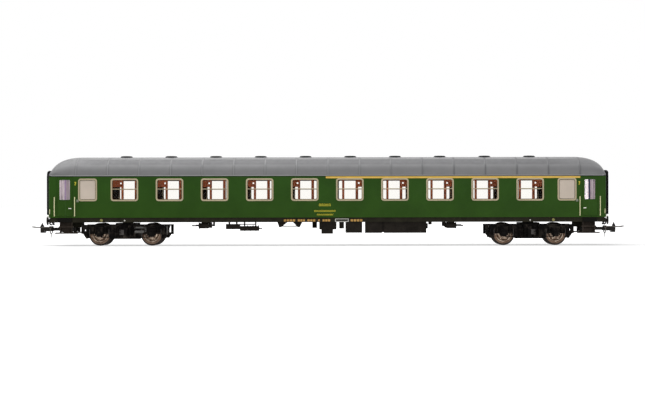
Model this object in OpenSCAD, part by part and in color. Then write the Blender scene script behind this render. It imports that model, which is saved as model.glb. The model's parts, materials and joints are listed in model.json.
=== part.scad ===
// Model passenger coach with compartments, on two four-wheel bogies, 16.5 mm gauge.
// X runs along the coach, Y across it and Z up. The origin is midway along and across,
// at the lowest point of the wheel flanges. End 1 is at +X and end 2 at -X.

/* [Body] */
// Length of the body over its end walls
body_len = 300; // [250:1:360]
// Width of the body over its side walls
body_w = 32.4; // [30:0.2:38]
// Thickness of the side and end walls
wall_t = 1.2; // [0.8:0.1:1.4]
// Height of the side walls' bottom edge
sill_z = 15.2; // [14.6:0.05:15.8]
// Height of the side walls
side_h = 22.5; // [20:0.05:26]
// Radius of the body's upright corners
corner_r = 1.4; // [0.8:0.1:2]

/* [Roof] */
// Height of the roof above the side walls
roof_rise = 10.25; // [8:0.1:13]
// Length of the rounded slope at each end of the roof
dome_len = 17; // [12:0.5:24]
// Thickness of the roof shell
roof_t = 1.2; // [0.8:0.1:1.6]
// Width of one roof ventilator along the coach
vent_len = 6.8; // [4:0.1:9]
// Height of a ventilator above the ridge
vent_h = 0.85; // [0.6:0.05:2]
// Distance between two ventilators
vent_pitch = 24.4; // [20:0.1:28]

/* [Windows] */
// Number of compartments, each with one window a side
compartments = 10; // [6:1:12]
// Length of the toilet and vestibule at each end
end_zone = 28.8; // [26:0.1:34]
// Width of a window over its frame
window_w = 14.8; // [10:0.1:17]
// Height of a window over its frame
window_h = 12.2; // [9:0.1:14]
// Height of the window centres above the sill
window_rise = 15.0; // [13:0.1:16]
// Width of the metal frame round a window
frame_w = 0.95; // [0.6:0.05:1.4]
// How far a window frame stands proud of the wall
frame_t = 0.2; // [0.1:0.05:0.4]
// Width of a toilet window over its frame
toilet_window_w = 10.2; // [7:0.1:12]
// Width of a door's window
door_window_w = 5.8; // [4:0.1:6.4]
// Height of a door's window
door_window_h = 10.9; // [8:0.1:12]

/* [Doors] */
// Width of an entrance door
door_w = 8.6; // [7.6:0.1:9.4]
// Distance from the end wall to an entrance door's centre
door_inset = 8.8; // [8:0.1:10]
// Height of a door handrail
handrail_h = 10.4; // [8:0.1:12]
// Diameter of handrails
handrail_d = 0.5; // [0.3:0.05:0.7]

/* [Bogies] */
// Distance from the end wall to a bogie's pivot
bogie_inset = 40.9; // [40:0.1:48]
// Distance between a bogie's two axles
wheelbase = 28.1; // [26:0.1:30]
// Diameter of a wheel at its flange
flange_d = 12.4; // [11:0.1:12.6]
// Height of a flange above the tread
flange_h = 0.9; // [0.5:0.05:1]
// Distance between the backs of two wheels on one axle
back_to_back = 14.4; // [14.2:0.1:14.6]
// Width of a wheel
wheel_w = 2.8; // [2.4:0.1:2.9]

/* [Couplings] */
// Distance from the end wall back to a coupling's pivot
coupler_inset = 12; // [11:0.1:12.4]
// Height of the coupling's shank centre
coupler_z = 8.8; // [8.4:0.1:9.2]
// Reach of the coupling head's face past the end wall
coupler_reach = 6.6; // [5:0.1:8]
// Reach of the coupling loop past the head's face
loop_reach = 4.8; // [3:0.1:6]

/* [Hidden] */
$fn = 48;

// Small clearances
touch_gap = 0.1;    // between pieces of one moulding set
running_gap = 0.05; // round a turning pin
eps = 0.01;         // overshoot of a cut past a face

// Body, worked out from the driving sizes
half_len = body_len / 2;
half_w = body_w / 2;
eave_z = sill_z + side_h;
ridge_z = eave_z + roof_rise;
window_z = sill_z + window_rise;
window_pitch = (body_len - 2 * end_zone) / compartments;
window_r = 1.5;
bar_h = 0.6;
bar_z = window_z + 0.4;
lip = 0.35; // how far a frame overlaps the wall round its opening
toilet_x = half_len - 21.1;
door_x = half_len - door_inset;
door_h = side_h - 1.2;
door_window_r = 0.4;
groove_w = 0.3; // of the shut lines round a door
groove_depth = 0.2;
opening_z = sill_z + 2.2; // bottom of the doorway at the gangway
gangway_door_w = 8;
gangway_door_h = 19;

// Inside
plate_z = flange_d + 2.2; // underside of the floor plate, clear of the wheels
plate_t = 1.0;
ballast_t = 1.2;
floor_t = 0.8;
floor_z = plate_z + plate_t + ballast_t + floor_t;
glass_t = 0.8;
lining = half_w - wall_t - glass_t - touch_gap;
partition_t = 1.0;
partition_top = eave_z - 0.3;
corridor_w = 10.3;
corridor_y = half_w - corridor_w;
toilet_wall_x = half_len - 15.9;

// Underframe
sole_t = 1.0;
sole_inset = 0.6;
sole_y = half_w - sole_inset;
sole_h = 2.5;
sole_z = sill_z - sole_h;
headstock_t = 1.2;
headstock_x = half_len - 0.8;
buffer_y = 10.06;
buffer_z = sill_z - 1.6;
buffer_head_r = 2.3;
buffer_reach = 1.7;   // from the end wall to a buffer's face
gangway_reach = 2.3;  // and to the face of the gangway's rubber rolls

// Bogie
pivot_x = half_len - bogie_inset;
axle_z = flange_d / 2;
axle_r = 1.0;
journal_r = 0.75;
wheel_back = back_to_back / 2;
wheel_face = wheel_back + wheel_w;
tread_r = flange_d / 2 - flange_h;
frame_in = 11.0;
frame_side_t = 1.0;
frame_out = frame_in + frame_side_t;
box_out = frame_out + 0.9;
journal_end = frame_out - 0.2;
bogie_end = wheelbase / 2 + flange_d / 2 + 3.55; // from the pivot to either end of a side frame
beam_x = wheelbase / 2 + flange_d / 2 + 1.05;    // and to the centre line of an end beam
bogie_top = 12.3;   // top of the bolster
side_top = 11.4;    // top of the side frames
beam_z = 6.5;       // their underside between the axles and the ends
plank_z = 3.7;      // underside of the spring plank
seat_top_z = plank_z + 0.7; // where the bolster's springs stand
bolster_low = 9.6;  // underside of the bolster
beam_low = 9.5;     // underside of the end beams
pin_r = 1.5;
pin_boss_r = 3;
spring_r = 0.95;
spring_x = 3.4;     // from an axle's centre to each of its springs
saddle_z = axle_z + 0.2; // underside of the saddles that these springs stand on
saddle_t = 0.6;
spring_top = side_top - 0.6; // underside of the flange along the top
bolster_springs = [-5.22, -2.592, 2.592, 5.22]; // places along the bogie

// Coupling
coupler_x = half_len - coupler_inset;
coupler_face = half_len + coupler_reach;
shank_h = 2.0;
coupler_pin_r = 0.9;
head_t = 1.3;        // thickness of the head's face plate
head_w = 5.2;
head_top = 2.2;      // from the shank's centre up to the plate's shoulder
head_low = 1.6;      // and down to its lower edge
head_point = 3.6;    // and up to the pointed hook on it
block_len = 5.4;     // length of the thick part behind the plate
block_w = 5.2;
shank_w = 2.8;
loop_r = 0.27;
loop_pivot_x = half_len + 1;
loop_y = 3.6;
loop_top_z = coupler_z + 1.1;
loop_pivot_z = loop_top_z;
tail_z = 3.65;
loop_pin_r = 0.3;

// ---- Helpers ----------------------------------------------------------------

module both_sides() {
    children();
    mirror([0, 1, 0]) children();
}

module both_ends() {
    children();
    rotate([0, 0, 180]) children();
}

module four_corners() {
    both_ends() both_sides() children();
}

// A rectangle w by h, centred, with round corners
module rounded(w, h, r) {
    square([w - 2 * r, h], center = true);
    square([w, h - 2 * r], center = true);
    for (x = [-1, 1], y = [-1, 1])
        translate([x * (w / 2 - r), y * (h / 2 - r)]) circle(r);
}

// Turns a drawing in the XZ plane into a solid from y = 0 towards +Y
module across(t) {
    translate([0, t, 0]) rotate([90, 0, 0]) linear_extrude(t) children();
}

// Turns a drawing whose x is Y and y is Z into a solid from x = 0 towards +X
module along(t) {
    rotate([90, 0, 90]) linear_extrude(t) children();
}

module box(x, y, z) {
    translate([x[0], y[0], z[0]]) cube([x[1] - x[0], y[1] - y[0], z[1] - z[0]]);
}

// A rod between two values of y, x or z
module rod_x(x0, x1, y, z, r) { translate([x0, y, z]) rotate([0, 90, 0]) cylinder(h = x1 - x0, r = r); }
module rod_y(y0, y1, x, z, r) { translate([x, y0, z]) rotate([-90, 0, 0]) cylinder(h = y1 - y0, r = r); }
module rod_z(z0, z1, x, y, r) { translate([x, y, z0]) cylinder(h = z1 - z0, r = r); }

function window_x(i) = (i - (compartments - 1) / 2) * window_pitch;
function partition_x(i) = (i - compartments / 2) * window_pitch;
function toilet_xs() = [-toilet_x, toilet_x];
function door_xs() = [-door_x, door_x];

// Puts one drawing at each compartment window
module at_windows() {
    for (i = [0 : compartments - 1]) translate([window_x(i), window_z]) children();
}

module at_toilets() {
    for (x = toilet_xs()) translate([x, window_z]) children();
}

module at_door_windows() {
    for (x = door_xs()) translate([x, window_z]) children();
}

// ---- Body -------------------------------------------------------------------

// The body seen from above
module body_plan(inset) {
    rounded(body_len - 2 * inset, body_w - 2 * inset, max(corner_r - inset, 0.2));
}

module side_openings() {
    at_windows() rounded(window_w - 2 * lip, window_h - 2 * lip, window_r - lip);
    at_toilets() rounded(toilet_window_w - 2 * lip, window_h - 2 * lip, window_r - lip);
    at_door_windows() rounded(door_window_w, door_window_h, door_window_r);
}

// The shut lines round the entrance doors, drawn on the side
module door_lines() {
    for (x = door_xs()) translate([x, sill_z + side_h / 2]) difference() {
        square([door_w, door_h], center = true);
        square([door_w - 2 * groove_w, door_h - 2 * groove_w], center = true);
    }
}

module body_shell() {
    color("#2f4a20") difference() {
        translate([0, 0, sill_z]) linear_extrude(side_h) difference() {
            body_plan(0);
            body_plan(wall_t);
        }
        translate([0, -half_w - 1, 0]) across(body_w + 2) side_openings();
        both_sides() translate([0, half_w - groove_depth, 0]) across(1) door_lines();
        both_ends() box([half_len - wall_t - 1, half_len + 1],
            [-gangway_door_w / 2, gangway_door_w / 2], [opening_z, opening_z + gangway_door_h]);
    }
}

// Half of the roof's outline across the coach: a short upright, a tight shoulder and a flat crown
shoulder_r = 6.2;
shoulder_up = 0.9;
crown_r = (pow(half_w - shoulder_r, 2) + pow(roof_rise - shoulder_up, 2) - pow(shoulder_r, 2))
    / (2 * (roof_rise - shoulder_up - shoulder_r));
crown_half = asin((half_w - shoulder_r) / (crown_r - shoulder_r));

function roof_half() = concat(
    [[half_w, 0]],
    [for (a = [0 : 15 : 89 - crown_half]) [half_w - shoulder_r + shoulder_r * cos(a),
        shoulder_up + shoulder_r * sin(a)]],
    [for (k = [5 : -1 : 1]) [crown_r * sin(crown_half * k / 5),
        roof_rise - crown_r + crown_r * cos(crown_half * k / 5)]]);

function roof_outline() = concat(roof_half(), [[0, roof_rise]],
    [for (i = [len(roof_half()) - 1 : -1 : 0]) [-roof_half()[i][0], roof_half()[i][1]]]);

// Share of the full height and width left at a distance u, from 0 to 1, along the end slope
function dome_height(u) = pow(1 - pow(u, 2.3), 0.4);
function dome_width(u) = 1 - 0.075 * pow(u, 3);

dome_steps = [0.22, 0.42, 0.6, 0.74, 0.85, 0.93, 0.98, 0.997];

// Rings of the roof, from end 2 to end 1: [x, height share, width share]
roof_rings = concat(
    [for (i = [len(dome_steps) - 1 : -1 : 0]) [-(half_len - dome_len + dome_len * dome_steps[i]),
        dome_height(dome_steps[i]), dome_width(dome_steps[i])]],
    [[-(half_len - dome_len), 1, 1], [half_len - dome_len, 1, 1]],
    [for (u = dome_steps) [half_len - dome_len + dome_len * u, dome_height(u), dome_width(u)]]);

module roof_mass() {
    ring = roof_outline();
    n = len(ring);
    m = len(roof_rings);
    points = [for (r = roof_rings, p = ring) [r[0], p[0] * r[2], eave_z + p[1] * r[1]]];
    faces = concat(
        [[for (j = [0 : n - 1]) j]],
        [for (i = [0 : m - 2], j = [0 : n - 1])
            [i * n + j, (i + 1) * n + j, (i + 1) * n + (j + 1) % n, i * n + (j + 1) % n]],
        [[for (j = [n - 1 : -1 : 0]) (m - 1) * n + j]]);
    polyhedron(points, faces);
}

module roof() {
    edge_t = roof_t + 1.6; // the roof is thicker along its edges
    inner_w = body_w - 2 * edge_t;
    color("#8b8b8b") difference() {
        roof_mass();
        // the hollow under the crown, as one arched tunnel
        translate([-(half_len - dome_len), 0, eave_z]) along(body_len - 2 * dome_len)
            intersection() {
                translate([0, roof_rise - roof_t - crown_r]) circle(crown_r, $fn = 96);
                translate([-inner_w / 2, -1]) square([inner_w, roof_rise]);
            }
    }
}

// Each ventilator is a low round cap on a collar that sits on the ridge
module roof_ventilators() {
    sink = 0.35; // the collar's foot follows the crown down by this much
    collar_r = vent_len * 0.36;
    collar_h = vent_h * 0.45;
    brim_z = vent_h * 0.3;     // underside of the cap
    bevel_z = vent_h * 0.7;    // where the cap's edge turns in to its top
    bevel_r = vent_len * 0.46;
    top_r = vent_len * 0.3;
    color("#777777") for (i = [0 : compartments - 1])
        translate([(i - (compartments - 1) / 2) * vent_pitch, 0, ridge_z]) difference() {
            union() {
                translate([0, 0, -sink]) cylinder(h = sink + collar_h, r = collar_r);
                translate([0, 0, brim_z]) cylinder(h = bevel_z - brim_z, r1 = vent_len / 2, r2 = bevel_r);
                translate([0, 0, bevel_z]) cylinder(h = vent_h - bevel_z, r1 = bevel_r, r2 = top_r);
            }
            translate([-vent_len, 0, -roof_rise]) along(2 * vent_len) polygon(roof_outline());
        }
}

// ---- Windows ----------------------------------------------------------------

module frame_outline(w) {
    difference() {
        rounded(w, window_h, window_r);
        rounded(w - 2 * frame_w, window_h - 2 * frame_w, window_r - frame_w / 2);
    }
}

module window_frames() {
    bar_lap = 0.1; // of the bar over the frame at each side
    color("#c3b99c") both_sides() translate([0, half_w, 0]) across(frame_t) {
        at_windows() frame_outline(window_w);
        at_windows() translate([0, bar_z - window_z])
            square([window_w - 2 * frame_w + 2 * bar_lap, bar_h], center = true);
        at_toilets() frame_outline(toilet_window_w);
    }
}

// One clear strip behind the wall with a raised pane for each opening
module side_glass() {
    band_w = body_len - 2 * wall_t - 6;
    band_h = window_h + 2.4;
    pane_t = wall_t - touch_gap;
    translate([0, half_w - wall_t - glass_t, 0]) across(glass_t)
        translate([0, window_z]) square([band_w, band_h], center = true);
    translate([0, half_w - wall_t - eps, 0]) across(pane_t + eps) {
        at_windows() rounded(window_w - 2 * lip - 2 * touch_gap, window_h - 2 * lip - 2 * touch_gap,
            window_r - lip - touch_gap);
        at_door_windows() rounded(door_window_w - 2 * touch_gap, door_window_h - 2 * touch_gap,
            door_window_r - touch_gap);
    }
}

module window_glass_left() { color("#dfe9ee", 0.3) mirror([0, 1, 0]) side_glass(); }
module window_glass_right() { color("#dfe9ee", 0.3) side_glass(); }

// The toilets' windows are frosted
module toilet_panes() {
    color("#cfc3bb") both_sides() translate([0, half_w - wall_t + touch_gap, 0])
        across(wall_t - 2 * touch_gap) at_toilets()
        rounded(toilet_window_w - 2 * lip - 2 * touch_gap, window_h - 2 * lip - 2 * touch_gap,
            window_r - lip - touch_gap);
}

// ---- Inside -----------------------------------------------------------------

walls_h = partition_top - floor_z;
cabin_depth = corridor_y + lining; // from the near lining to the corridor wall
passage_y = corridor_y + partition_t + 0.6; // near side of the way through to the vestibules
passage_w = 5.4;
passage_h = 17;

module cross_wall(x, full) {
    y1 = full ? lining : corridor_y;
    difference() {
        box([x - partition_t / 2, x + partition_t / 2], [-lining, y1], [floor_z, partition_top]);
        if (full) box([x - partition_t, x + partition_t], [passage_y, passage_y + passage_w],
            [floor_z - 1, floor_z + passage_h]);
    }
}

module cross_partitions() {
    color("#6b2018") {
        for (i = [1 : compartments - 1]) cross_wall(partition_x(i), false);
        for (x = [partition_x(0), partition_x(compartments), -toilet_wall_x, toilet_wall_x])
            cross_wall(x, true);
    }
}

// The wall between compartments and corridor, with a sliding door and two side lights each
door_gap = 6.1;
door_shift = -0.15;  // of each door's middle from the window's, towards end 1
door_low_z = floor_z + 6;          // foot of the glass in a sliding door
door_high_z = partition_top - 1.6; // and its head
post_near_2 = 1.25;  // post on the side of end 2
post_near_1 = 1.5;   // and on the side of end 1
light_edge = window_pitch / 2 - 2.4; // outer edge of the side lights, from the window's middle
light_margin = 0.9;  // of a side light inside the window's height
panel_z = eave_z - 5.9; // underside of the panel beside each door
hole_z = panel_z + 2.1; // the round opening in that panel
hole_x = 4.7;
hole_r = 0.5;

module corridor_wall() {
    start = partition_x(0) + partition_t / 2;
    end = partition_x(compartments) - partition_t / 2;
    low_z = window_z - window_h / 2 + light_margin;
    high_z = window_z + window_h / 2 - light_margin;
    color("#6b2018") difference() {
        box([start, end], [corridor_y, corridor_y + partition_t], [floor_z, partition_top]);
        for (i = [0 : compartments - 1]) {
            x = window_x(i);
            door_0 = x + door_shift - door_gap / 2;
            door_1 = door_0 + door_gap;
            light_0 = x - light_edge;
            light_1 = door_1 + post_near_1;
            // the panelled side light is the one nearer the coach's end
            head_0 = x < 0 ? panel_z : high_z;
            head_1 = x < 0 ? high_z : panel_z;
            translate([0, corridor_y - 1, 0]) across(partition_t + 2) {
                translate([door_0, door_low_z]) square([door_gap, door_high_z - door_low_z]);
                translate([light_0, low_z]) square([door_0 - post_near_2 - light_0, head_0 - low_z]);
                translate([light_1, low_z]) square([x + light_edge - light_1, head_1 - low_z]);
                translate([x + (x < 0 ? -hole_x : hole_x), hole_z]) circle(hole_r);
            }
        }
    }
}

// One bench seen from the side, with its back against x = 0
module bench_outline() {
    seat_top = 4.6;
    seat_depth = 6.4;
    back_h = 12.8;
    back_t = 1.9;
    pad_z = back_h - 2.6; // head pad
    pad_h = 2.2;
    pad_t = 2.3;
    foot_x = 3; // the space for heels starts here
    foot_h = 2;
    difference() {
        union() {
            square([seat_depth, seat_top]);
            square([back_t, back_h]);
            translate([0, pad_z]) square([pad_t, pad_h]);
        }
        translate([foot_x, -eps]) square([seat_depth, foot_h]);
    }
}

module bench() {
    side_gap = 1; // from the linings at both ends of the bench
    translate([0, -lining + side_gap, floor_z]) across(cabin_depth - 2 * side_gap) bench_outline();
}

module seats() {
    color("#7a2a1c") for (i = [0 : compartments - 1]) {
        translate([partition_x(i) + partition_t / 2, 0, 0]) bench();
        translate([partition_x(i + 1) - partition_t / 2, 0, 0]) mirror([1, 0, 0]) bench();
    }
}

module interior_floor() {
    floor_x = half_len - wall_t - 0.4;
    color("#5c2a20") box([-floor_x, floor_x], [-lining, lining], [floor_z - floor_t, floor_z]);
}

module ballast_plate() {
    ballast_x = pivot_x - 2;
    ballast_y = 12.5;
    ballast_z = plate_z + plate_t;
    color("#77777a")
        box([-ballast_x, ballast_x], [-ballast_y, ballast_y], [ballast_z, ballast_z + ballast_t]);
}

// ---- Underframe -------------------------------------------------------------

module underframe() {
    plate_y = half_w - wall_t - touch_gap;
    plate_x = half_len - wall_t - touch_gap;
    color("#2b2724") {
        box([-plate_x, plate_x], [-plate_y, plate_y], [plate_z, plate_z + plate_t]);
        // solebars under the side walls
        both_sides() box([-headstock_x, headstock_x], [sole_y - sole_t, sole_y], [sole_z, sill_z - eps]);
        // headstocks that carry the buffers
        both_ends() box([headstock_x - headstock_t, headstock_x], [-sole_y, sole_y], [sole_z, sill_z - eps]);
    }
}

// The bosses and pins that the bogies turn on
module bogie_pivots() {
    pin_low = bogie_top - 3.2;
    color("#2b2724") for (x = [-pivot_x, pivot_x]) {
        rod_z(bogie_top + touch_gap, plate_z, x, 0, pin_boss_r);
        rod_z(pin_low, bogie_top + touch_gap + eps, x, 0, pin_r);
    }
}

// The blocks and pins that the couplings turn on
module coupler_mounts() {
    top = coupler_z + shank_h / 2 + touch_gap;
    pin_low = coupler_z - shank_h / 2 - 0.4;
    block_back = coupler_x - 4.6;
    block_front = coupler_x + 5;
    block_y = 3.2;
    color("#2b2724") both_ends() {
        box([block_back, block_front], [-block_y, block_y], [top, plate_z]);
        rod_z(pin_low, top + eps, coupler_x, 0, coupler_pin_r);
    }
}

// Equipment is hung between the solebars; hang_y is the outer face of what hangs
hang_y = sole_y - sole_t - touch_gap;
gear_y = hang_y - 2.7; // centre line of the brake gear and the tanks

module hung_box(x, z, deep, y_out = hang_y) {
    box(x, [y_out - deep, y_out], z);
}

module battery_boxes() {
    long_x = [20.2, 29.4, 30.4, 42.8, 53.3]; // where the sections of the long box meet
    long_z = [plate_z - 7.8, plate_z];
    long_deep = 9;
    joint_z = [plate_z - 7.4, plate_z];      // the narrow set-back section
    joint_deep = 8.2;
    joint_back = 0.7;
    vented_y = hang_y - 0.25;                // face of the section with louvres
    louvre_x = [43.8, 48.6];
    louvre_h = 0.35;
    louvre_deep = 0.3;
    single_x = [9.7, 18.7];
    single_z = [plate_z - 7.7, plate_z];
    single_deep = 8;
    color("#2e2a28") mirror([0, 1, 0]) {
        hung_box([long_x[0], long_x[1]], long_z, long_deep);
        hung_box([long_x[1], long_x[2]], joint_z, joint_deep, hang_y - joint_back);
        hung_box([long_x[2], long_x[3]], long_z, long_deep);
        difference() {
            hung_box([long_x[3], long_x[4]], long_z, long_deep, vented_y);
            for (drop = [3.4 : 0.9 : 6.2])
                hung_box(louvre_x, [plate_z - drop, plate_z - drop + louvre_h], louvre_deep, vented_y + eps);
        }
        hung_box(single_x, single_z, single_deep);
    }
}

module transformer() {
    core_x = [-4.4, 4.6];
    core_z = plate_z - 5.9;
    core_deep = 10;
    foot_x = [-3.3, 2.85];
    foot_z = plate_z - 8.2;
    foot_in = 0.5;
    fin_xs = [-3.6 : 1.6 : 4.4];
    fin_w = 0.5;
    fin_out = 0.35;
    color("#2b2826") {
        box(core_x, [-hang_y, -hang_y + core_deep], [core_z, plate_z]);
        box(foot_x, [-hang_y + foot_in, -hang_y + core_deep - foot_in], [foot_z, core_z + eps]);
        for (x = fin_xs)
            box([x, x + fin_w], [-hang_y - fin_out, -hang_y + eps], [core_z + 0.5, plate_z - 2]);
    }
}

module air_reservoirs() {
    tank_x = [36.9, 47.2];
    tank_z = plate_z - 5.3;
    tank_r = 1.3;
    housing_x = [tank_x[1], 54.8];
    housing_z = [tank_z - 0.4, tank_z + 2.4];
    housing_hangers = [48.6, 52.6];
    tank_hangers = [38.4, 44.4];
    hanger_y = [gear_y - 0.5, gear_y + 0.5];
    outlet_x = 35.3;
    outlet_r = 0.3;
    filter_x = -7.6;
    color("#2b2826") both_ends() {
        // a flat housing with a tank slung lower beside it
        box(housing_x, [gear_y - 2.4, gear_y + 1.4], housing_z);
        for (x = housing_hangers) box([x, x + 0.8], hanger_y, [housing_z[1] - eps, plate_z]);
        rod_x(tank_x[0], tank_x[1] + eps, gear_y, tank_z, tank_r);
        rod_x(outlet_x, tank_x[0] + eps, gear_y, tank_z, outlet_r);
        for (x = tank_hangers) box([x, x + 0.7], hanger_y, [tank_z + 0.9, plate_z]);
        // a strap along the hangers
        box([tank_hangers[0], tank_x[1] + eps], [gear_y - 0.3, gear_y + 0.3], [tank_z + 2, tank_z + 2.5]);
        // an upright filter
        rod_z(tank_z - 0.1, plate_z, filter_x, gear_y + 0.7, tank_r);
    }
}

// A cylinder on a hanger with its piston rod towards -X
module brake_cylinder() {
    z = plate_z - 3.8;
    barrel_len = 4.8;
    barrel_r = 1.5;
    cap_t = 0.5;
    cap_r = 1.7;
    rod_end = -4.2;
    rod_r = 0.35;
    bracket_x = 5.4; // a hanger behind the barrel, joined to it by a stub
    stub_r = 0.5;
    hanger_y = [gear_y - 0.6, gear_y + 0.6];
    rod_x(0, barrel_len, gear_y, z, barrel_r);
    rod_x(-cap_t, eps, gear_y, z, cap_r);
    rod_x(rod_end, -cap_t + eps, gear_y, z, rod_r);
    rod_x(barrel_len - eps, bracket_x + eps, gear_y, z, stub_r);
    box([1, barrel_len - 1], hanger_y, [z + 1.3, plate_z]);
    box([bracket_x, bracket_x + 1], hanger_y, [z - 0.6, plate_z]);
}

// Triangular hanger for a brake lever, in XZ
lever_apex_z = plate_z - 4.7;
module lever_hanger(x0, x1, apex) {
    shoulder_z = sole_z + 0.6;
    translate([0, gear_y, 0]) across(0.8) polygon([[x0, plate_z], [x0, shoulder_z],
        [apex - 0.5, lever_apex_z], [apex + 0.5, lever_apex_z], [x1, shoulder_z], [x1, plate_z]]);
}

module brake_cylinders() {
    cylinder_x = 69;
    near_apex = 15.5; // of the two lever hangers, joined by a pull rod
    far_apex = 25.6;
    pull_r = 0.25;
    valve_x = [54.4, 56.2];
    color("#2b2826") {
        four_corners() translate([cylinder_x, 0, 0]) mirror([1, 0, 0]) brake_cylinder();
        rotate([0, 0, 180]) {
            lever_hanger(20.8, 27.2, far_apex);
            lever_hanger(13.3, 19.2, near_apex);
            rod_x(near_apex, far_apex, gear_y + 0.4, lever_apex_z + 0.6, pull_r);
        }
        mirror([0, 1, 0]) box(valve_x, [gear_y, gear_y + 1.2], [plate_z - 3.3, plate_z]);
    }
}

// Steps under each entrance door: a threshold before the solebar, and two cheeks that carry two
// treads and a back plate
step_w = 12.2;
step_in = sole_y - 3.1;
module door_steps() {
    cheek_t = 0.6;
    tread_t = 0.6;
    back_t = 0.5;
    cheek_x0 = door_x - 3.9;
    cheek_x1 = door_x + 2.9;
    low_z = sole_z - 6.1;  // underside of the lower tread
    high_z = sole_z - 2.7; // and of the upper one
    upper_over = 0.5;      // past the cheeks
    lower_x = [door_x - step_w / 2 - 0.6, door_x + step_w / 2 - 0.8];
    sill_out = 0.4;        // of the threshold past the body side
    color("#241f1c") four_corners() {
        for (x = [cheek_x0, cheek_x1 - cheek_t])
            box([x, x + cheek_t], [step_in, sole_y - 0.4], [low_z, sole_z]);
        box([cheek_x0, cheek_x1], [step_in, step_in + back_t], [low_z + 0.8, sole_z]);
        box([cheek_x0 - upper_over, cheek_x1 + upper_over], [step_in, sole_y + 0.3],
            [high_z, high_z + tread_t]);
        box(lower_x, [step_in + 0.8, half_w + 0.1], [low_z, low_z + tread_t]);
        box([cheek_x0, cheek_x1 + 0.8], [sole_y, half_w + sill_out],
            [sole_z + 0.1, sill_z - touch_gap / 2]);
    }
}

// ---- Ends -------------------------------------------------------------------

module buffers() {
    face = half_len + buffer_reach;
    sleeve_end = half_len + 0.5;
    sleeve_r = 1.2;
    plunger_r = 0.8;
    head_back = face - 0.6;
    color("#1b1a19") four_corners() {
        rod_x(headstock_x, sleeve_end, buffer_y, buffer_z, sleeve_r);
        rod_x(sleeve_end - eps, head_back + eps, buffer_y, buffer_z, plunger_r);
        rod_x(head_back, face, buffer_y, buffer_z, buffer_head_r);
    }
}

// Rubber rolls round the gangway: two uprights and a header joined by quarter bends
roll_r = 1.25;
roll_y = 6.9;
roll_bend = 2.2;
module gangway(end) {
    foot = sill_z + 1.5;
    top = eave_z + 1.5;
    cx = half_len + gangway_reach - roll_r;
    header_r = roll_r + 0.25;
    rotate([0, 0, end == 1 ? 0 : 180]) color("#151515") intersection() {
        union() {
            both_sides() {
                rod_z(foot, top - roll_bend, cx, roll_y, roll_r);
                translate([cx, roll_y - roll_bend, top - roll_bend]) rotate([90, 0, 90])
                    rotate_extrude(angle = 90) translate([roll_bend, 0]) circle(roll_r);
            }
            rod_y(-roll_y + roll_bend, roll_y - roll_bend, cx, top, header_r);
        }
        // only what stands before the end wall
        translate([half_len, -half_w, 0]) cube([2 * gangway_reach, body_w, 2 * top]);
    }
}

module gangway_1() { gangway(1); }
module gangway_2() { gangway(2); }

module end_doors() {
    w = gangway_door_w - 2 * touch_gap;
    set_back = 0.3;
    pane_w = 3.6;
    pane_h = 9;
    pane_z = window_z - 0.5;
    color("#2a431d") both_ends() difference() {
        box([half_len - wall_t, half_len - set_back], [-w / 2, w / 2],
            [opening_z + touch_gap, opening_z + gangway_door_h - touch_gap]);
        translate([half_len - wall_t - 1, 0, pane_z]) along(wall_t + 2) rounded(pane_w, pane_h, 0.6);
    }
}

// A staple-shaped rail: an upright held off the wall by a foot at each end
module staple(x, z0, h, d) {
    out = half_w + 0.75;
    foot_in = 0.6; // of each foot from the rail's end
    foot_r = d * 0.42;
    rod_z(z0, z0 + h, x, out, d / 2);
    for (z = [z0 + foot_in, z0 + h - foot_in]) rod_y(half_w, out, x, z, foot_r);
}

module door_handrails() {
    rail_z = sill_z + 0.8;
    color("#b9a878") four_corners() {
        staple(door_x - door_w / 2 - 1.1, rail_z, handrail_h, handrail_d);
        staple(door_x + door_w / 2 + 1.2, rail_z, handrail_h, handrail_d);
    }
}

module door_handles() {
    pivot = door_x - door_w / 2 + 1.1;
    z = sill_z + 5;
    lever_h = 0.4;
    color("#d0d0cc") four_corners() {
        rod_y(half_w, half_w + 0.5, pivot, z, 0.22);
        box([pivot - 0.3, pivot + 1.1], [half_w + 0.3, half_w + 0.6], [z - lever_h / 2, z + lever_h / 2]);
    }
}

// ---- Bogies -----------------------------------------------------------------

// Outline of one side of the frame, in XZ: a deep beam, a lug at each axle, an apron down to the
// spring plank and a foot at each end. End +X is the end nearer the coach's end.
module side_outline() {
    axle = wheelbase / 2;
    post_w = 1.5;  // upright past the slot at the inner end
    slot_w = 1.1;
    slot_roof = 0.8;
    bar_low = 0.6; // the bar that joins the upright's foot to the frame again
    bar_t = 0.9;
    hole_in = 2.4; // a round hole near the outer end
    hole_up = 1.9;
    hole_r = 0.5;
    lug_z = axle_z - 1.4;
    lug_low = 1.6; // half length of a lug at its foot
    lug_top = 1.9;
    foot_z = 3.9;
    apron_top = 9.2;
    apron_low = 8.2;
    difference() {
        translate([-bogie_end, beam_z]) square([2 * bogie_end, side_top - beam_z]);
        translate([-bogie_end + post_w, beam_z - eps]) square([slot_w, side_top - beam_z - slot_roof]);
        translate([bogie_end - hole_in, beam_z + hole_up]) circle(hole_r);
    }
    translate([-bogie_end, beam_z - bar_low]) square([post_w + slot_w + 1.2, bar_t]);
    for (s = [-1, 1]) {
        polygon([[s * axle - lug_top, beam_z + eps], [s * axle - lug_low, lug_z],
            [s * axle + lug_low, lug_z], [s * axle + lug_top, beam_z + eps]]);
        polygon([[s * (bogie_end - 0.9), beam_z + eps], [s * (bogie_end - 2.6), foot_z],
            [s * (bogie_end - 3.5), foot_z], [s * (bogie_end - 2.8), beam_z + eps]]);
    }
    polygon([[-apron_top, beam_z + eps], [-apron_low, plank_z],
        [apron_low, plank_z], [apron_top, beam_z + eps]]);
}

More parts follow.
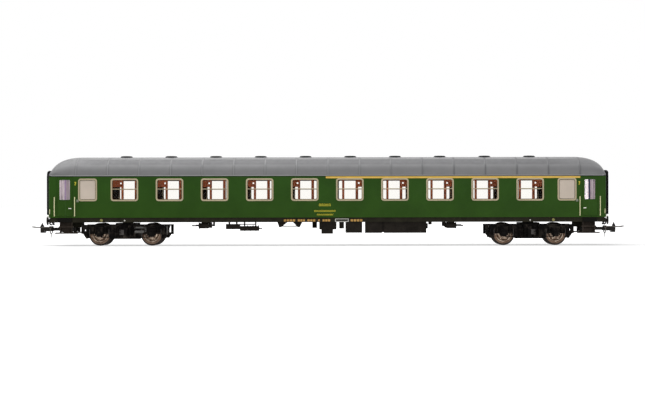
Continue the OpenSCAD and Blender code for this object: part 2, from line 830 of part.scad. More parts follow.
module bogie_side() {
    axle = wheelbase / 2;
    flange_z = [side_top - 0.6, side_top - 0.1]; // along the top
    flange_out = 0.5;
    box_half = 1.6; // half length of an axle box
    box_z = [axle_z - 1.3, axle_z + 2.9];
    cover_r = 1.35;
    cover_z = axle_z + 0.2;
    cover_out = 0.35;
    saddle_end = spring_x + 1.2;
    seat_half = 7;  // half length of the bolster springs' seat
    post_half = 1.1;
    difference() {
        union() {
            translate([0, frame_in, 0]) across(frame_side_t) side_outline();
            box([-bogie_end, bogie_end], [frame_out - 0.1, frame_out + flange_out], flange_z);
            // axle boxes with round covers, and spring saddles at both sides of each
            for (s = [-1, 1]) {
                box([s * axle - box_half, s * axle + box_half], [frame_in + 0.1, box_out], box_z);
                rod_y(box_out - 0.1, box_out + cover_out, s * axle, cover_z, cover_r);
                box([s * axle - saddle_end, s * axle + saddle_end], [frame_in + 0.2, box_out + 0.1],
                    [saddle_z, saddle_z + saddle_t]);
            }
            // seat of the bolster springs and the post between them
            box([-seat_half, seat_half], [frame_in + 0.1, box_out + 0.2], [plank_z + 0.1, seat_top_z]);
            box([-post_half, post_half], [frame_in + 0.1, box_out + 0.3], [seat_top_z - 0.1, bolster_low]);
        }
        // the journals' holes stop short of the covers
        for (s = [-1, 1])
            rod_y(frame_in - 1, journal_end + 0.1, s * axle, axle_z, journal_r + running_gap);
    }
}

module bogie_frame() {
    lap = 0.2;
    bolster_x = 5.4;
    full_y = [-frame_in - lap, frame_in + lap];
    end_beam_t = 1.2;
    sill_y = [4.4, 5.6];
    color("#1d1c1b") difference() {
        union() {
            both_sides() bogie_side();
            // bolster and centre plate
            box([-bolster_x, bolster_x], full_y, [bolster_low, bogie_top]);
            // end beams, low enough to pass under the floor
            for (x = [-beam_x, beam_x])
                box([x - end_beam_t / 2, x + end_beam_t / 2], full_y, [beam_low, side_top - 0.15]);
            // centre sills between the beams, inside the wheels
            both_sides() box([-beam_x, beam_x], sill_y, [beam_low + 0.2, side_top - 0.05]);
        }
        rod_z(0, sill_z, 0, 0, pin_r + running_gap);
    }
}

module bogie_springs() {
    axle = wheelbase / 2;
    y = frame_out + spring_r + touch_gap / 2;
    color("#262524") both_sides() {
        for (s = [-1, 1], k = [-1, 1])
            rod_z(saddle_z + saddle_t, spring_top, s * axle + k * spring_x, y, spring_r);
        for (x = bolster_springs) rod_z(seat_top_z, spring_top, x, y, spring_r);
    }
}

// Brake blocks on the outer side of each wheel, hung from the end beams
module brake_shoes() {
    shoe_y = wheel_back + 1.2;
    shoe_w = 1.4;
    shoe_z = [axle_z - 2.2, axle_z + 2];
    shoe_gap = 0.35; // from the tread
    hanger_t = 0.8;
    hanger_in = 0.3;
    shoe_in = wheelbase / 2 + tread_r + 0.2;
    shoe_out = beam_x + hanger_t / 2;
    color("#2a2523") for (turn = [0, 180]) rotate([0, 0, turn]) both_sides() difference() {
        union() {
            box([shoe_in, shoe_out], [shoe_y, shoe_y + shoe_w], shoe_z);
            box([beam_x - hanger_t / 2, beam_x + hanger_t / 2],
                [shoe_y + hanger_in, shoe_y + shoe_w - hanger_in], [axle_z + 1, beam_low]);
        }
        rod_y(0, half_w, wheelbase / 2, axle_z, tread_r + shoe_gap);
    }
}

module at_bogie(n) {
    translate([n == 1 ? pivot_x : -pivot_x, 0, 0]) rotate([0, 0, n == 1 ? 0 : 180]) children();
}

module bogie_frame_1() { at_bogie(1) bogie_frame(); }
module bogie_frame_2() { at_bogie(2) bogie_frame(); }
module bogie_springs_1() { at_bogie(1) bogie_springs(); }
module bogie_springs_2() { at_bogie(2) bogie_springs(); }
module brake_shoes_1() { at_bogie(1) brake_shoes(); }
module brake_shoes_2() { at_bogie(2) brake_shoes(); }

// ---- Wheelsets: 1 and 2 are in bogie 1, 3 and 4 in bogie 2, from end 1 to end 2

function wheelset_x(n) = (n <= 2 ? pivot_x : -pivot_x) + (n % 2 == 1 ? 1 : -1) * wheelbase / 2;

module axle(n) {
    translate([wheelset_x(n), 0, 0]) color("#4c443c") {
        rod_y(-wheel_face - 0.2, wheel_face + 0.2, 0, axle_z, axle_r);
        rod_y(-journal_end, journal_end, 0, axle_z, journal_r);
    }
}

// Half section of a wheel: x is the radius and y the distance from the wheel's back
module wheel_section() {
    rim_r = tread_r - 1.1;
    hub_r = 1.9;
    polygon([
        [axle_r, 0], [flange_d / 2 - 0.45, 0], [flange_d / 2 - 0.12, 0.12], [flange_d / 2, 0.38],
        [flange_d / 2 - 0.15, 0.62], [tread_r + 0.22, 0.9], [tread_r + 0.12, 1.1], [tread_r, wheel_w - 0.2],
        [tread_r - 0.2, wheel_w], [rim_r, wheel_w], [rim_r - 0.25, wheel_w - 0.6],
        [hub_r + 0.3, wheel_w - 0.75], [hub_r, wheel_w - 0.1], [axle_r, wheel_w - 0.1]
    ]);
}

module wheel_pair(n) {
    translate([wheelset_x(n), 0, axle_z]) color("#7d6c5e") both_sides()
        translate([0, wheel_back, 0]) rotate([-90, 0, 0]) rotate_extrude($fn = 72) wheel_section();
}

module axle_1() { axle(1); }
module axle_2() { axle(2); }
module axle_3() { axle(3); }
module axle_4() { axle(4); }
module wheels_1() { wheel_pair(1); }
module wheels_2() { wheel_pair(2); }
module wheels_3() { wheel_pair(3); }
module wheels_4() { wheel_pair(4); }

// ---- Couplings --------------------------------------------------------------

// Shank, head and hook of one coupling, at end 1
module coupler() {
    z0 = coupler_z - shank_h / 2;
    z1 = coupler_z + shank_h / 2;
    plate_back = coupler_face - head_t;
    foot_len = 2.4;
    foot_low = coupler_z - head_low - 0.3;
    ear_half = 0.8; // half length of the ears that hold the loop
    ear_y = 2.9;
    ear_top = loop_pivot_z + 0.6;
    loop_pin_end = loop_y + 0.5;
    color("#1e1b19") difference() {
        union() {
            rod_z(z0, z1, coupler_x, 0, coupler_pin_r + 1);
            box([coupler_x, plate_back], [-shank_w / 2, shank_w / 2], [z0 + 0.3, z1 - 0.3]);
            box([plate_back - block_len, plate_back + eps], [-block_w / 2, block_w / 2], [z0, z1]);
            // face plate with its pointed hook and a foot along its lower edge
            box([plate_back, coupler_face], [-head_w / 2, head_w / 2],
                [coupler_z - head_low, coupler_z + head_top]);
            translate([0, -head_t / 2, 0]) across(head_t) polygon([
                [plate_back, coupler_z + head_top - eps],
                [plate_back + head_t / 2, coupler_z + head_point],
                [coupler_face, coupler_z + head_top - eps]]);
            box([coupler_face - foot_len, coupler_face], [-head_w / 2, head_w / 2],
                [foot_low, foot_low + 0.8]);
            box([loop_pivot_x - ear_half, loop_pivot_x + ear_half], [-ear_y, ear_y], [z0 + 0.3, ear_top]);
            rod_y(-loop_pin_end, loop_pin_end, loop_pivot_x, loop_pivot_z, loop_pin_r);
        }
        rod_z(0, sill_z, coupler_x, 0, coupler_pin_r + running_gap);
    }
}

// A bent flat-ended wire: an eye, an arm and a leg at each side, a front bar and a cross bar
// under the shank with the tail that lifts the loop
module coupler_loop() {
    front = coupler_face + loop_reach - loop_r;
    under = coupler_z - shank_h / 2 - 1.1;
    y = loop_y;
    eye_r = 0.65;
    t = loop_r;
    color("#35302c") difference() {
        union() {
            both_sides() {
                box([loop_pivot_x, front + t], [y - t, y + t], [loop_top_z - t, loop_top_z + t]);
                rod_y(y - t, y + t, loop_pivot_x, loop_pivot_z, eye_r);
                box([loop_pivot_x - t, loop_pivot_x + t], [y - t, y + t], [under - t, loop_pivot_z]);
            }
            box([front - t, front + t], [-y, y], [loop_top_z - t, loop_top_z + t]);
            box([loop_pivot_x - t, loop_pivot_x + t], [-y, y], [under - t, under + t]);
            rod_z(tail_z, under, loop_pivot_x, 0, loop_r * 0.9);
        }
        rod_y(-2 * y, 2 * y, loop_pivot_x, loop_pivot_z, loop_pin_r + running_gap);
    }
}

module coupler_1() { coupler(); }
module coupler_2() { rotate([0, 0, 180]) coupler(); }
module coupler_loop_1() { coupler_loop(); }
module coupler_loop_2() { rotate([0, 0, 180]) coupler_loop(); }

// ---- Build ------------------------------------------------------------------

body_shell();
roof();
roof_ventilators();
window_frames();
window_glass_left();
window_glass_right();
toilet_panes();
cross_partitions();
corridor_wall();
seats();
interior_floor();
ballast_plate();
underframe();
bogie_pivots();
coupler_mounts();
battery_boxes();
transformer();
air_reservoirs();
brake_cylinders();
door_steps();
buffers();
gangway_1();
gangway_2();
end_doors();
door_handrails();
door_handles();
bogie_frame_1();
bogie_frame_2();
bogie_springs_1();
bogie_springs_2();
brake_shoes_1();
brake_shoes_2();
axle_1();
axle_2();
axle_3();
axle_4();
wheels_1();
wheels_2();
wheels_3();
wheels_4();
coupler_1();
coupler_2();
coupler_loop_1();
coupler_loop_2();
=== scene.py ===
"""Looks for the model passenger coach: fine shapes, printed marks, materials, light and camera.

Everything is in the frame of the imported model. Sizes are written in millimetres and turned
into metres when a mesh is made. End 1 is at +X, and the compartment side faces -Y.
"""
import json
import math

import bmesh
import bpy
from mathutils import Matrix, Vector

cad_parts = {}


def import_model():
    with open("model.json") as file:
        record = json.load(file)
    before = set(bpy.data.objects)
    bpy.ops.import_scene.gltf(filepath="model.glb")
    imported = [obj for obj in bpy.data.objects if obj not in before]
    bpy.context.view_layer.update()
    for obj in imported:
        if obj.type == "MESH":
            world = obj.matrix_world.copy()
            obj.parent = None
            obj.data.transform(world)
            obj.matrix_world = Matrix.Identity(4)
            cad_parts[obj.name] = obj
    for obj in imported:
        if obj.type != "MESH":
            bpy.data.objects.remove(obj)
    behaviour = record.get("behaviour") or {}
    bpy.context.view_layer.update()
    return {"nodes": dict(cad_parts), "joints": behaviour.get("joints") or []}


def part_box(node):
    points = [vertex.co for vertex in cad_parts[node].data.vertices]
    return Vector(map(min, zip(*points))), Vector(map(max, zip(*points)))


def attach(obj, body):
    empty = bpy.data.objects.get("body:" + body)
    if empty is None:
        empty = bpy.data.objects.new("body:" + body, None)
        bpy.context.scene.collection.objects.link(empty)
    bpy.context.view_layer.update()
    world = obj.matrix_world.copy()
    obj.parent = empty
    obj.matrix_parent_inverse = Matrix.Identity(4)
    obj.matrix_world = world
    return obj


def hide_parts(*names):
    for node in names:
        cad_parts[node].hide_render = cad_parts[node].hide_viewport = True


MM = 0.001
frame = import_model()


def mm_box(node):
    """Lowest and highest corner of a CAD node, in millimetres."""
    low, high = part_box(node)
    return [v / MM for v in low], [v / MM for v in high]


def joint_place(name):
    """Where a joint sits, in millimetres."""
    for joint in frame["joints"]:
        if joint["name"] == name:
            return [v / MM for v in joint["pos_m"]]
    raise SystemExit("no joint called " + name)


# ---- Sizes read from the frame ----

body_low, body_high = mm_box("body_shell")
_, roof_high = mm_box("roof")
vents_low, vents_high = mm_box("roof_ventilators")
frames_low, frames_high = mm_box("window_frames")
sole_low, sole_high = mm_box("underframe")
steps_low, _ = mm_box("door_steps")
HALF_LEN = body_high[0]
HALF_W = body_high[1]
SILL_Z = body_low[2]
EAVE_Z = body_high[2]
RIDGE_Z = roof_high[2]
SOLE_Z = sole_low[2]
SOLE_Y = sole_high[1]
PIVOT_X = joint_place("bogie_1_swivel")[0]
AXLE_Z = joint_place("wheelset_1_roll")[2]
HALF_BASE = abs(joint_place("wheelset_1_roll")[0] - PIVOT_X)
COUPLER_Z = joint_place("coupling_1_swing")[2]
WINDOW_Z = (frames_low[2] + frames_high[2]) / 2
WINDOW_H = frames_high[2] - frames_low[2]

# ---- Sizes that follow the same values as the CAD ----

WINDOW_W = 14.8
WINDOW_COUNT = 10
END_ZONE = 28.8
WINDOW_PITCH = (2 * HALF_LEN - 2 * END_ZONE) / WINDOW_COUNT
WINDOW_XS = [(i - (WINDOW_COUNT - 1) / 2) * WINDOW_PITCH for i in range(WINDOW_COUNT)]
TOILET_X = HALF_LEN - 21.1
TOILET_W = 10.2
DOOR_X = HALF_LEN - 8.8
DOOR_W = 8.6
DOME_LEN = 17.0
RIB_PITCH = 16.95
RIB_SHIFT = 0.35


# ---- Mesh building ----

OTHER_SIDE = ((1, -1),)
OTHER_END = ((-1, 1),)
OTHER_CORNERS = ((-1, 1), (1, -1), (-1, -1))
BOX_FACES = ((0, 2, 3, 1), (4, 5, 7, 6), (0, 1, 5, 4), (2, 6, 7, 3), (0, 4, 6, 2), (1, 3, 7, 5))
LEAST_R = 0.001


def about(middle, half):
    """The span from half below a middle to half above it."""
    return middle - half, middle + half


def circle(centre, side, up, r, sides):
    """Points of a circle in the plane of two directions at right angles."""
    points = []
    for k in range(sides):
        t = 2 * math.pi * k / sides
        points.append(centre + r * (math.cos(t) * side + math.sin(t) * up))
    return points


def set_at(outline, axis, depth):
    """An outline's points in space, at one depth along the axis that the outline leaves out."""
    place = "xyz".index(axis)
    return [(*p[:place], depth, *p[place:]) for p in outline]


class Shape:
    """Collects simple closed solids, in millimetres, for one mesh."""

    def __init__(self):
        self.points = []
        self.faces = []

    def add(self, points, faces):
        start = len(self.points)
        self.points += [tuple(p) for p in points]
        self.faces += [[start + i for i in face] for face in faces]

    def box(self, x, y, z):
        """A block between two places on each axis."""
        self.add([(a, b, c) for c in z for b in y for a in x], BOX_FACES)

    def loft(self, rings, closed=False):
        """Joins outlines of equally many points. Both ends are capped, unless the last joins the first."""
        n = len(rings[0])
        count = len(rings)
        points = [p for ring in rings for p in ring]
        faces = []
        for i in range(count if closed else count - 1):
            here = i * n
            there = (i + 1) % count * n
            for j in range(n):
                k = (j + 1) % n
                faces.append((here + j, here + k, there + k, there + j))
        if not closed:
            faces.append(list(range(n - 1, -1, -1)))
            faces.append(list(range((count - 1) * n, count * n)))
        self.add(points, faces)

    def prism(self, outline, axis, low, high):
        """Pushes an outline along an axis. Its two numbers are the other two axes in order."""
        self.loft([set_at(outline, axis, low), set_at(outline, axis, high)])

    def ring(self, outer, inner, axis, low, high):
        """The space between two outlines of equally many points, pushed along an axis."""
        self.loft([set_at(outer, axis, low), set_at(outer, axis, high),
                   set_at(inner, axis, high), set_at(inner, axis, low)], closed=True)

    def rod(self, a, b, r, sides):
        """A straight round rod from a to b."""
        a, b = Vector(a), Vector(b)
        along = (b - a).normalized()
        side = along.orthogonal().normalized()
        up = along.cross(side)
        self.loft([circle(end, side, up, r, sides) for end in (a, b)])

    def bar(self, x, y, z, r, sides):
        """A round rod along one axis: one of x, y and z is its (start, end), the others its middle."""
        start, end = ([v[i] if isinstance(v, tuple) else v for v in (x, y, z)] for i in (0, 1))
        self.rod(start, end, r, sides)

    def tube(self, path, r, sides=8):
        """A round wire along a list of points."""
        path = [Vector(p) for p in path]
        rings = []
        side = None
        for i, p in enumerate(path):
            along = (path[min(i + 1, len(path) - 1)] - path[max(i - 1, 0)]).normalized()
            if side is None:
                side = along.orthogonal().normalized()
            side = (side - along * side.dot(along)).normalized()
            rings.append(circle(p, side, along.cross(side), r, sides))
        self.loft(rings)

    def lathe(self, profile, centre, axis, sides, closed=False):
        """Turns (radius, distance) pairs about an axis through centre; distance runs along the axis."""
        centre = Vector(centre)
        along = Vector(axis).normalized()
        side = along.orthogonal().normalized()
        up = along.cross(side)
        self.loft([circle(centre + d * along, side, up, max(r, LEAST_R), sides) for r, d in profile], closed)

    def mirrored(self, signs):
        """Adds a mirrored copy of everything so far for each (x, y) pair of signs."""
        points, faces = list(self.points), list(self.faces)
        for sx, sy in signs:
            flip = sx * sy < 0
            self.add([(sx * x, sy * y, z) for x, y, z in points],
                     [list(reversed(f)) if flip else f for f in faces])

    def moved(self, x):
        """Moves everything so far along the coach."""
        self.points = [(a + x, b, c) for a, b, c in self.points]

    def turned(self):
        """Turns everything so far half round about the Z axis."""
        self.points = [(-a, -b, c) for a, b, c in self.points]

    def object(self, name, material, slot, copies=(), body="coach", bevel=0.0, smooth_deg=35):
        """Makes the mesh with its mirrored copies and lets it ride on a body. The slot is not used."""
        self.mirrored(copies)
        mesh = bpy.data.meshes.new(name)
        mesh.from_pydata([(x * MM, y * MM, z * MM) for x, y, z in self.points], [], self.faces)
        outward = bmesh.new()
        outward.from_mesh(mesh)
        bmesh.ops.recalc_face_normals(outward, faces=outward.faces)
        outward.to_mesh(mesh)
        outward.free()
        mesh.shade_smooth()
        mesh.set_sharp_from_angle(angle=math.radians(smooth_deg))
        piece = bpy.data.objects.new(name, mesh)
        bpy.context.scene.collection.objects.link(piece)
        mesh.materials.append(material)
        if bevel:
            soften(piece, bevel)
        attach(piece, body)
        return piece


def soften(piece, width):
    """Small rounded edges, as moulded parts have."""
    bevel = piece.modifiers.new("soft_edges", "BEVEL")
    bevel.width = width * MM
    bevel.segments = 2
    bevel.limit_method = "ANGLE"
    bevel.angle_limit = math.radians(40)
    bevel.harden_normals = False


def rounded_outline(w, h, r, cx, cz):
    """A rectangle with round corners about a middle, as points counter-clockwise."""
    steps = 6
    points = []
    for sx, sz, start in ((1, 1, 0), (-1, 1, 90), (-1, -1, 180), (1, -1, 270)):
        for k in range(steps + 1):
            t = math.radians(start + 90 * k / steps)
            x = cx + sx * (w / 2 - r) + r * math.cos(t)
            z = cz + sz * (h / 2 - r) + r * math.sin(t)
            points.append((x, z))
    return points


# ---- Materials ----

def colour(r, g, b):
    """An sRGB colour, 0 to 255, as Blender's linear values."""
    def linear(v):
        v /= 255
        return v / 12.92 if v <= 0.04045 else ((v + 0.055) / 1.055) ** 2.4
    return (linear(r), linear(g), linear(b), 1.0)


class Surface:
    """A material and the nodes that build it. Lengths are in millimetres."""

    def __init__(self, name, rough, metal=0.0, specular=0.5):
        self.material = bpy.data.materials.new(name)
        self.material.use_nodes = True
        self.tree = self.material.node_tree
        self.inputs = self.tree.nodes["Principled BSDF"].inputs
        self.place = self.node("TexCoord", {}, "Object")
        self.put(self.inputs["Roughness"], rough)
        self.put(self.inputs["Metallic"], metal)
        self.put(self.inputs["Specular IOR Level"], specular)
        self.normal = None

    def node(self, kind, inputs, output=0, **settings):
        """Adds a node with its inputs, by name or number, and gives back one of its outputs."""
        made = self.tree.nodes.new("ShaderNode" + kind)
        for key, value in settings.items():
            setattr(made, key, value)
        for key, value in inputs.items():
            self.put(made.inputs[key], value)
        return made.outputs[output]

    def put(self, socket, value):
        """Links a node's output to a socket, or sets the socket to a plain value."""
        if isinstance(value, bpy.types.NodeSocket):
            self.tree.links.new(value, socket)
        else:
            socket.default_value = value

    def math(self, operation, a, b=0.0):
        return self.node("Math", {0: a, 1: b}, operation=operation)

    def times(self, a, b):
        return self.math("MULTIPLY", a, b)

    def axis(self, letter):
        """The X, Y or Z place of a point, in metres."""
        return self.node("SeparateXYZ", {0: self.place}, letter)

    def from_middle(self, letter):
        """How far a point is from the coach's middle along an axis, in metres."""
        return self.math("ABSOLUTE", self.axis(letter))

    def beyond(self, letter, distance):
        """1 farther than a distance in millimetres from the middle along an axis, 0 nearer."""
        return self.math("GREATER_THAN", self.from_middle(letter), distance * MM)

    def within(self, letter, distance):
        """1 nearer than a distance in millimetres to the middle along an axis, 0 farther."""
        return self.math("LESS_THAN", self.from_middle(letter), distance * MM)

    def between(self, letter, low, high, soft=0.02):
        """1 where a place lies between two values in millimetres, 0 elsewhere, with a soft edge."""
        value = self.axis(letter)
        rise = self.ramp_value(value, (low - soft) * MM, (low + soft) * MM)
        fall = self.ramp_value(value, (high - soft) * MM, (high + soft) * MM)
        return self.math("SUBTRACT", rise, fall)

    def near_rib(self, half, soft=0.06):
        """1 within half of the middle of a roof rib, 0 elsewhere, with a soft edge."""
        shifted = self.math("SUBTRACT", self.axis("X"), RIB_SHIFT * MM)
        distance = self.math("PINGPONG", shifted, RIB_PITCH / 2 * MM)
        return self.ramp_value(distance, (half - soft) * MM, (half + soft) * MM, 1.0, 0.0)

    def ramp_value(self, value, low, high, out_low=0.0, out_high=1.0):
        """Goes from out_low to out_high while a value goes from low to high."""
        return self.node("MapRange", {"Value": value, "From Min": low, "From Max": high,
                                      "To Min": out_low, "To Max": out_high})

    def noise(self, size, detail, stretch=(1, 1, 1)):
        """Noise whose blobs are about size millimetres across."""
        place = self.node("Mapping", {"Vector": self.place, "Scale": stretch})
        return self.node("TexNoise", {"Vector": place, "Scale": 1 / (size * MM), "Detail": detail}, "Fac")

    def mix(self, share, first, second):
        """Goes over from the first colour to the second."""
        return self.node("Mix", {"Factor": share, "A": first, "B": second}, "Result", data_type="RGBA")

    def base(self, value):
        self.put(self.inputs["Base Color"], value)

    def vary_rough(self, value, low, high):
        self.put(self.inputs["Roughness"], self.ramp_value(value, 0.3, 0.7, low, high))

    def bump(self, height, strength, depth):
        """Raises the surface by up to depth millimetres where height is 1."""
        inputs = {"Strength": strength, "Distance": depth * MM, "Height": height}
        if self.normal is not None:
            inputs["Normal"] = self.normal
        self.normal = self.node("Bump", inputs)
        self.put(self.inputs["Normal"], self.normal)

    def show(self, shader):
        """Shows another shader in place of the standard one."""
        self.put(self.tree.nodes["Material Output"].inputs["Surface"], shader)


def mottled(look, base, shift, size=9.0):
    """The base colour with slight lighter and darker clouds, as a sprayed coat has."""
    darker = tuple(v * (1 - shift) for v in base[:3]) + (1,)
    lighter = tuple(min(v * (1 + shift), 1) for v in base[:3]) + (1,)
    clouds = look.noise(size, detail=3)
    return look.mix(look.ramp_value(clouds, 0.35, 0.65), darker, lighter)


def plastic(name, base, rough, grain=0.25, grain_depth=0.006, shift=0.12, specular=0.3):
    """Moulded plastic with a fine satin grain."""
    rough_shift = 0.07
    look = Surface(name, rough, specular=specular)
    look.base(mottled(look, base, shift))
    look.bump(look.noise(grain, detail=2), 0.6, grain_depth)
    look.vary_rough(look.noise(2.2, detail=4), rough - rough_shift, rough + rough_shift)
    return look.material


def dusty_plastic(name, base, dust_and_sheen, specular=0.06):
    """Dark chassis plastic whose raised grain catches a little dust. On the bogies the pale clouds are
    partly a painted highlight.
    """
    rough = 0.62
    rough_shift = 0.1
    most_dust_and_sheen = 0.35
    look = Surface(name, rough, specular=specular)
    clouds = look.noise(3.0, detail=5)
    coat = mottled(look, base, 0.2, size=5.0)
    # pale clouds: dust, and on the bogies partly a painted highlight
    look.base(look.mix(look.ramp_value(clouds, 0.5, 0.78, 0.0, most_dust_and_sheen), coat, dust_and_sheen))
    look.bump(look.noise(0.35, detail=3), 0.7, 0.012)
    look.vary_rough(look.noise(1.6, detail=3), rough - rough_shift, rough + rough_shift)
    return look.material


def turned_metal(name, base, bright, rough, metal):
    """Turned metal: fine grain, stains and a worn sheen. On the wheel webs the pale stains are partly a
    painted highlight.
    """
    look = Surface(name, rough, metal=metal)
    stains = look.noise(1.8, detail=5)
    look.base(look.mix(look.ramp_value(stains, 0.38, 0.66), base, bright))
    look.bump(look.noise(0.12, detail=2), 0.4, 0.004)
    look.vary_rough(look.noise(0.9, detail=3), rough - 0.08, rough + 0.14)
    return look.material


def step_brown():
    """Brown-black plastic of the steps, with painted shade that makes the threshold in front of the solebar
    nearly black.
    """
    look = Surface("step_brown", 0.62, specular=0.06)
    # painted shade: the threshold in front of the solebar goes nearly black
    threshold = look.between("Z", SOLE_Z, SILL_Z + 1, 0.1)
    low = mottled(look, colour(62, 54, 48), 0.25, size=4.0)
    look.base(look.mix(threshold, low, colour(16, 15, 12)))
    look.bump(look.noise(0.35, detail=3), 0.7, 0.012)
    return look.material


GREEN = colour(46, 79, 27)
LOWER_LIT_GREEN = colour(48, 79, 25)
GUTTER_SHADOW_GREEN = colour(26, 38, 18)
INNER_BROWN = colour(44, 36, 31)
STRIPE = colour(240, 198, 100)
STRIPE_Z = (EAVE_Z - 1.45, EAVE_Z - 0.42)
STRIPE_X = (-0.75, 136.0)
PAINT_DEPTH = 0.1
SKIN_DEPTH = 0.6


def green_coat():
    """Satin green with the first-class stripe under the gutter, a painted shadow line just under the gutter,
    painted light that tints the lower side a touch yellower, and brown on the shell's inner faces.
    """
    look = Surface("body_green", 0.5, specular=0.05)
    # painted light: the green turns a touch yellower towards the sill
    height = look.ramp_value(look.axis("Z"), SILL_Z * MM, EAVE_Z * MM)
    low = mottled(look, LOWER_LIT_GREEN, 0.1, 14.0)
    high = mottled(look, GREEN, 0.1, 14.0)
    coat = look.mix(height, low, high)
    band = look.times(look.between("Z", *STRIPE_Z), look.between("X", *STRIPE_X))
    painted = look.times(band, look.beyond("Y", HALF_W - PAINT_DEPTH))
    # painted shadow: a dark green line just under the gutter
    coat = look.mix(look.between("Z", STRIPE_Z[1], EAVE_Z + 1, 0.08), coat, GUTTER_SHADOW_GREEN)
    coat = look.mix(painted, coat, mottled(look, STRIPE, 0.06, 3.0))
    inside = look.times(look.within("Y", HALF_W - SKIN_DEPTH), look.within("X", HALF_LEN - SKIN_DEPTH))
    look.base(look.mix(inside, coat, INNER_BROWN))
    look.bump(look.noise(0.3, detail=2), 0.5, 0.005)
    look.bump(look.noise(16.0, detail=2, stretch=(0.4, 1, 1)), 0.35, 0.03)
    look.vary_rough(look.noise(3.0, detail=4), 0.36, 0.5)
    return look.material


GREY = colour(122, 122, 123)
# grey of the flow marks, and of the painted shade beside the ribs
FLOW_MARK_AND_SHADE_GREY = colour(102, 102, 104)
SHOULDER_SHADE_GREY = colour(88, 88, 90)
CREST_HIGHLIGHT_GREY = colour(138, 138, 139)
SEAM_HIGHLIGHT_GREY = colour(134, 134, 135)
SEAM_SHADE_GREY = colour(92, 92, 94)
SHOULDER_SHADE_Z = (RIDGE_Z - 4.3, RIDGE_Z - 0.9)
CREST_HIGHLIGHT_Z = (RIDGE_Z - 1.25, RIDGE_Z + 1)
SEAM_FADE_X = 60.0


def roof_grey():
    """Matte grey: flow marks, painted shade along each shoulder, a painted highlight on the crest, and
    moulded seams.

    The seams carry a painted highlight at end 2 and painted shade at end 1, with painted shade beside each.
    Shoulder shade and crest highlight fade out before the domed ends.
    """
    look = Surface("roof_grey", 0.45, specular=0.35)
    streaks = look.noise(12.0, detail=4, stretch=(0.25, 1, 1))
    coat = mottled(look, GREY, 0.04, 5.0)
    coat = look.mix(look.ramp_value(streaks, 0.45, 0.75, 0.0, 0.3), coat, FLOW_MARK_AND_SHADE_GREY)
    level = look.between("X", DOME_LEN - HALF_LEN, HALF_LEN - DOME_LEN, 12)
    # painted shade: a darker band along each shoulder, fading out before the domed ends
    band = look.times(look.between("Z", *SHOULDER_SHADE_Z, 0.5), level)
    coat = look.mix(look.times(band, 0.9), coat, mottled(look, SHOULDER_SHADE_GREY, 0.05, 7.0))
    # painted highlight: a paler crest along the ridge
    crest = look.between("Z", *CREST_HIGHLIGHT_Z, 0.2)
    coat = look.mix(look.times(crest, level), coat, CREST_HIGHLIGHT_GREY)
    # painted shade beside each rib
    beside = look.near_rib(0.8, soft=0.25)
    coat = look.mix(look.times(beside, 0.5), coat, FLOW_MARK_AND_SHADE_GREY)
    # the seams carry a painted highlight at end 2 and painted shade at end 1
    seam = look.near_rib(0.26)
    far_end = look.ramp_value(look.axis("X"), 0.0, SEAM_FADE_X * MM)
    look.base(look.mix(seam, coat, look.mix(far_end, SEAM_HIGHLIGHT_GREY, SEAM_SHADE_GREY)))
    look.bump(look.noise(0.28, detail=3), 0.6, 0.01)
    look.vary_rough(look.noise(2.0, detail=3), 0.38, 0.52)
    return look.material


DOOR_PANE_SHADE = colour(160, 148, 156)
DOOR_PANE_PALE = colour(204, 196, 198)
DOOR_PANE_LIT = colour(252, 246, 250)
DOOR_LIT_X = (DOOR_X - 3.2, DOOR_X - 0.8)


def clear_glazing():
    """Clear plastic, cloudy and streaked in the doors. Light that isn't seen directly passes through."""
    tint = (0.99, 0.98, 0.955, 1)
    look = Surface("clear_glazing", 0.02, specular=0.15)
    look.base(tint)
    look.put(look.inputs["Transmission Weight"], 1.0)
    look.put(look.inputs["IOR"], 1.12)
    look.bump(look.noise(2.5, detail=2), 0.1, 0.005)
    glass = look.tree.nodes["Principled BSDF"].outputs[0]
    passing = look.node("BsdfTransparent", {"Color": tint})
    shadow, diffuse = (look.node("LightPath", {}, "Is %s Ray" % kind) for kind in ("Shadow", "Diffuse"))
    unseen = look.math("MAXIMUM", shadow, diffuse)
    clear = look.node("MixShader", {0: unseen, 1: glass, 2: passing})

    lines = look.noise(0.9, detail=3, stretch=(1, 1, 0.04))
    pale = look.mix(look.ramp_value(lines, 0.4, 0.6), DOOR_PANE_SHADE, DOOR_PANE_PALE)
    pale = look.mix(look.between("X", *DOOR_LIT_X, 0.1), pale, DOOR_PANE_LIT)
    through, face = (look.node(kind, {"Color": pale}) for kind in ("BsdfTranslucent", "BsdfDiffuse"))
    cloudy = look.node("AddShader", {0: through, 1: face})
    share = look.times(look.beyond("X", DOOR_X - 4), look.ramp_value(lines, 0.35, 0.65, 0.6, 0.95))
    look.show(look.node("MixShader", {0: share, 1: clear, 2: cloudy}))
    return look.material


def door_seal():
    """Rubber that looks navy at end 1 and pale lilac at end 2, where light falls through."""
    look = Surface("door_seal", 0.6, specular=0.2)
    half_pane = 5.4
    end = look.math("GREATER_THAN", look.axis("X"), 0.0)
    high = look.between("Z", *about(WINDOW_Z, half_pane))
    navy = mottled(look, colour(44, 44, 74), 0.15, 1.0)
    lilac = mottled(look, colour(168, 146, 174), 0.1, 1.0)
    lit = look.mix(end, lilac, navy)
    look.base(look.mix(high, mottled(look, GREEN, 0.2, 1.0), lit))
    look.bump(look.noise(0.4, detail=3), 0.5, 0.01)
    return look.material


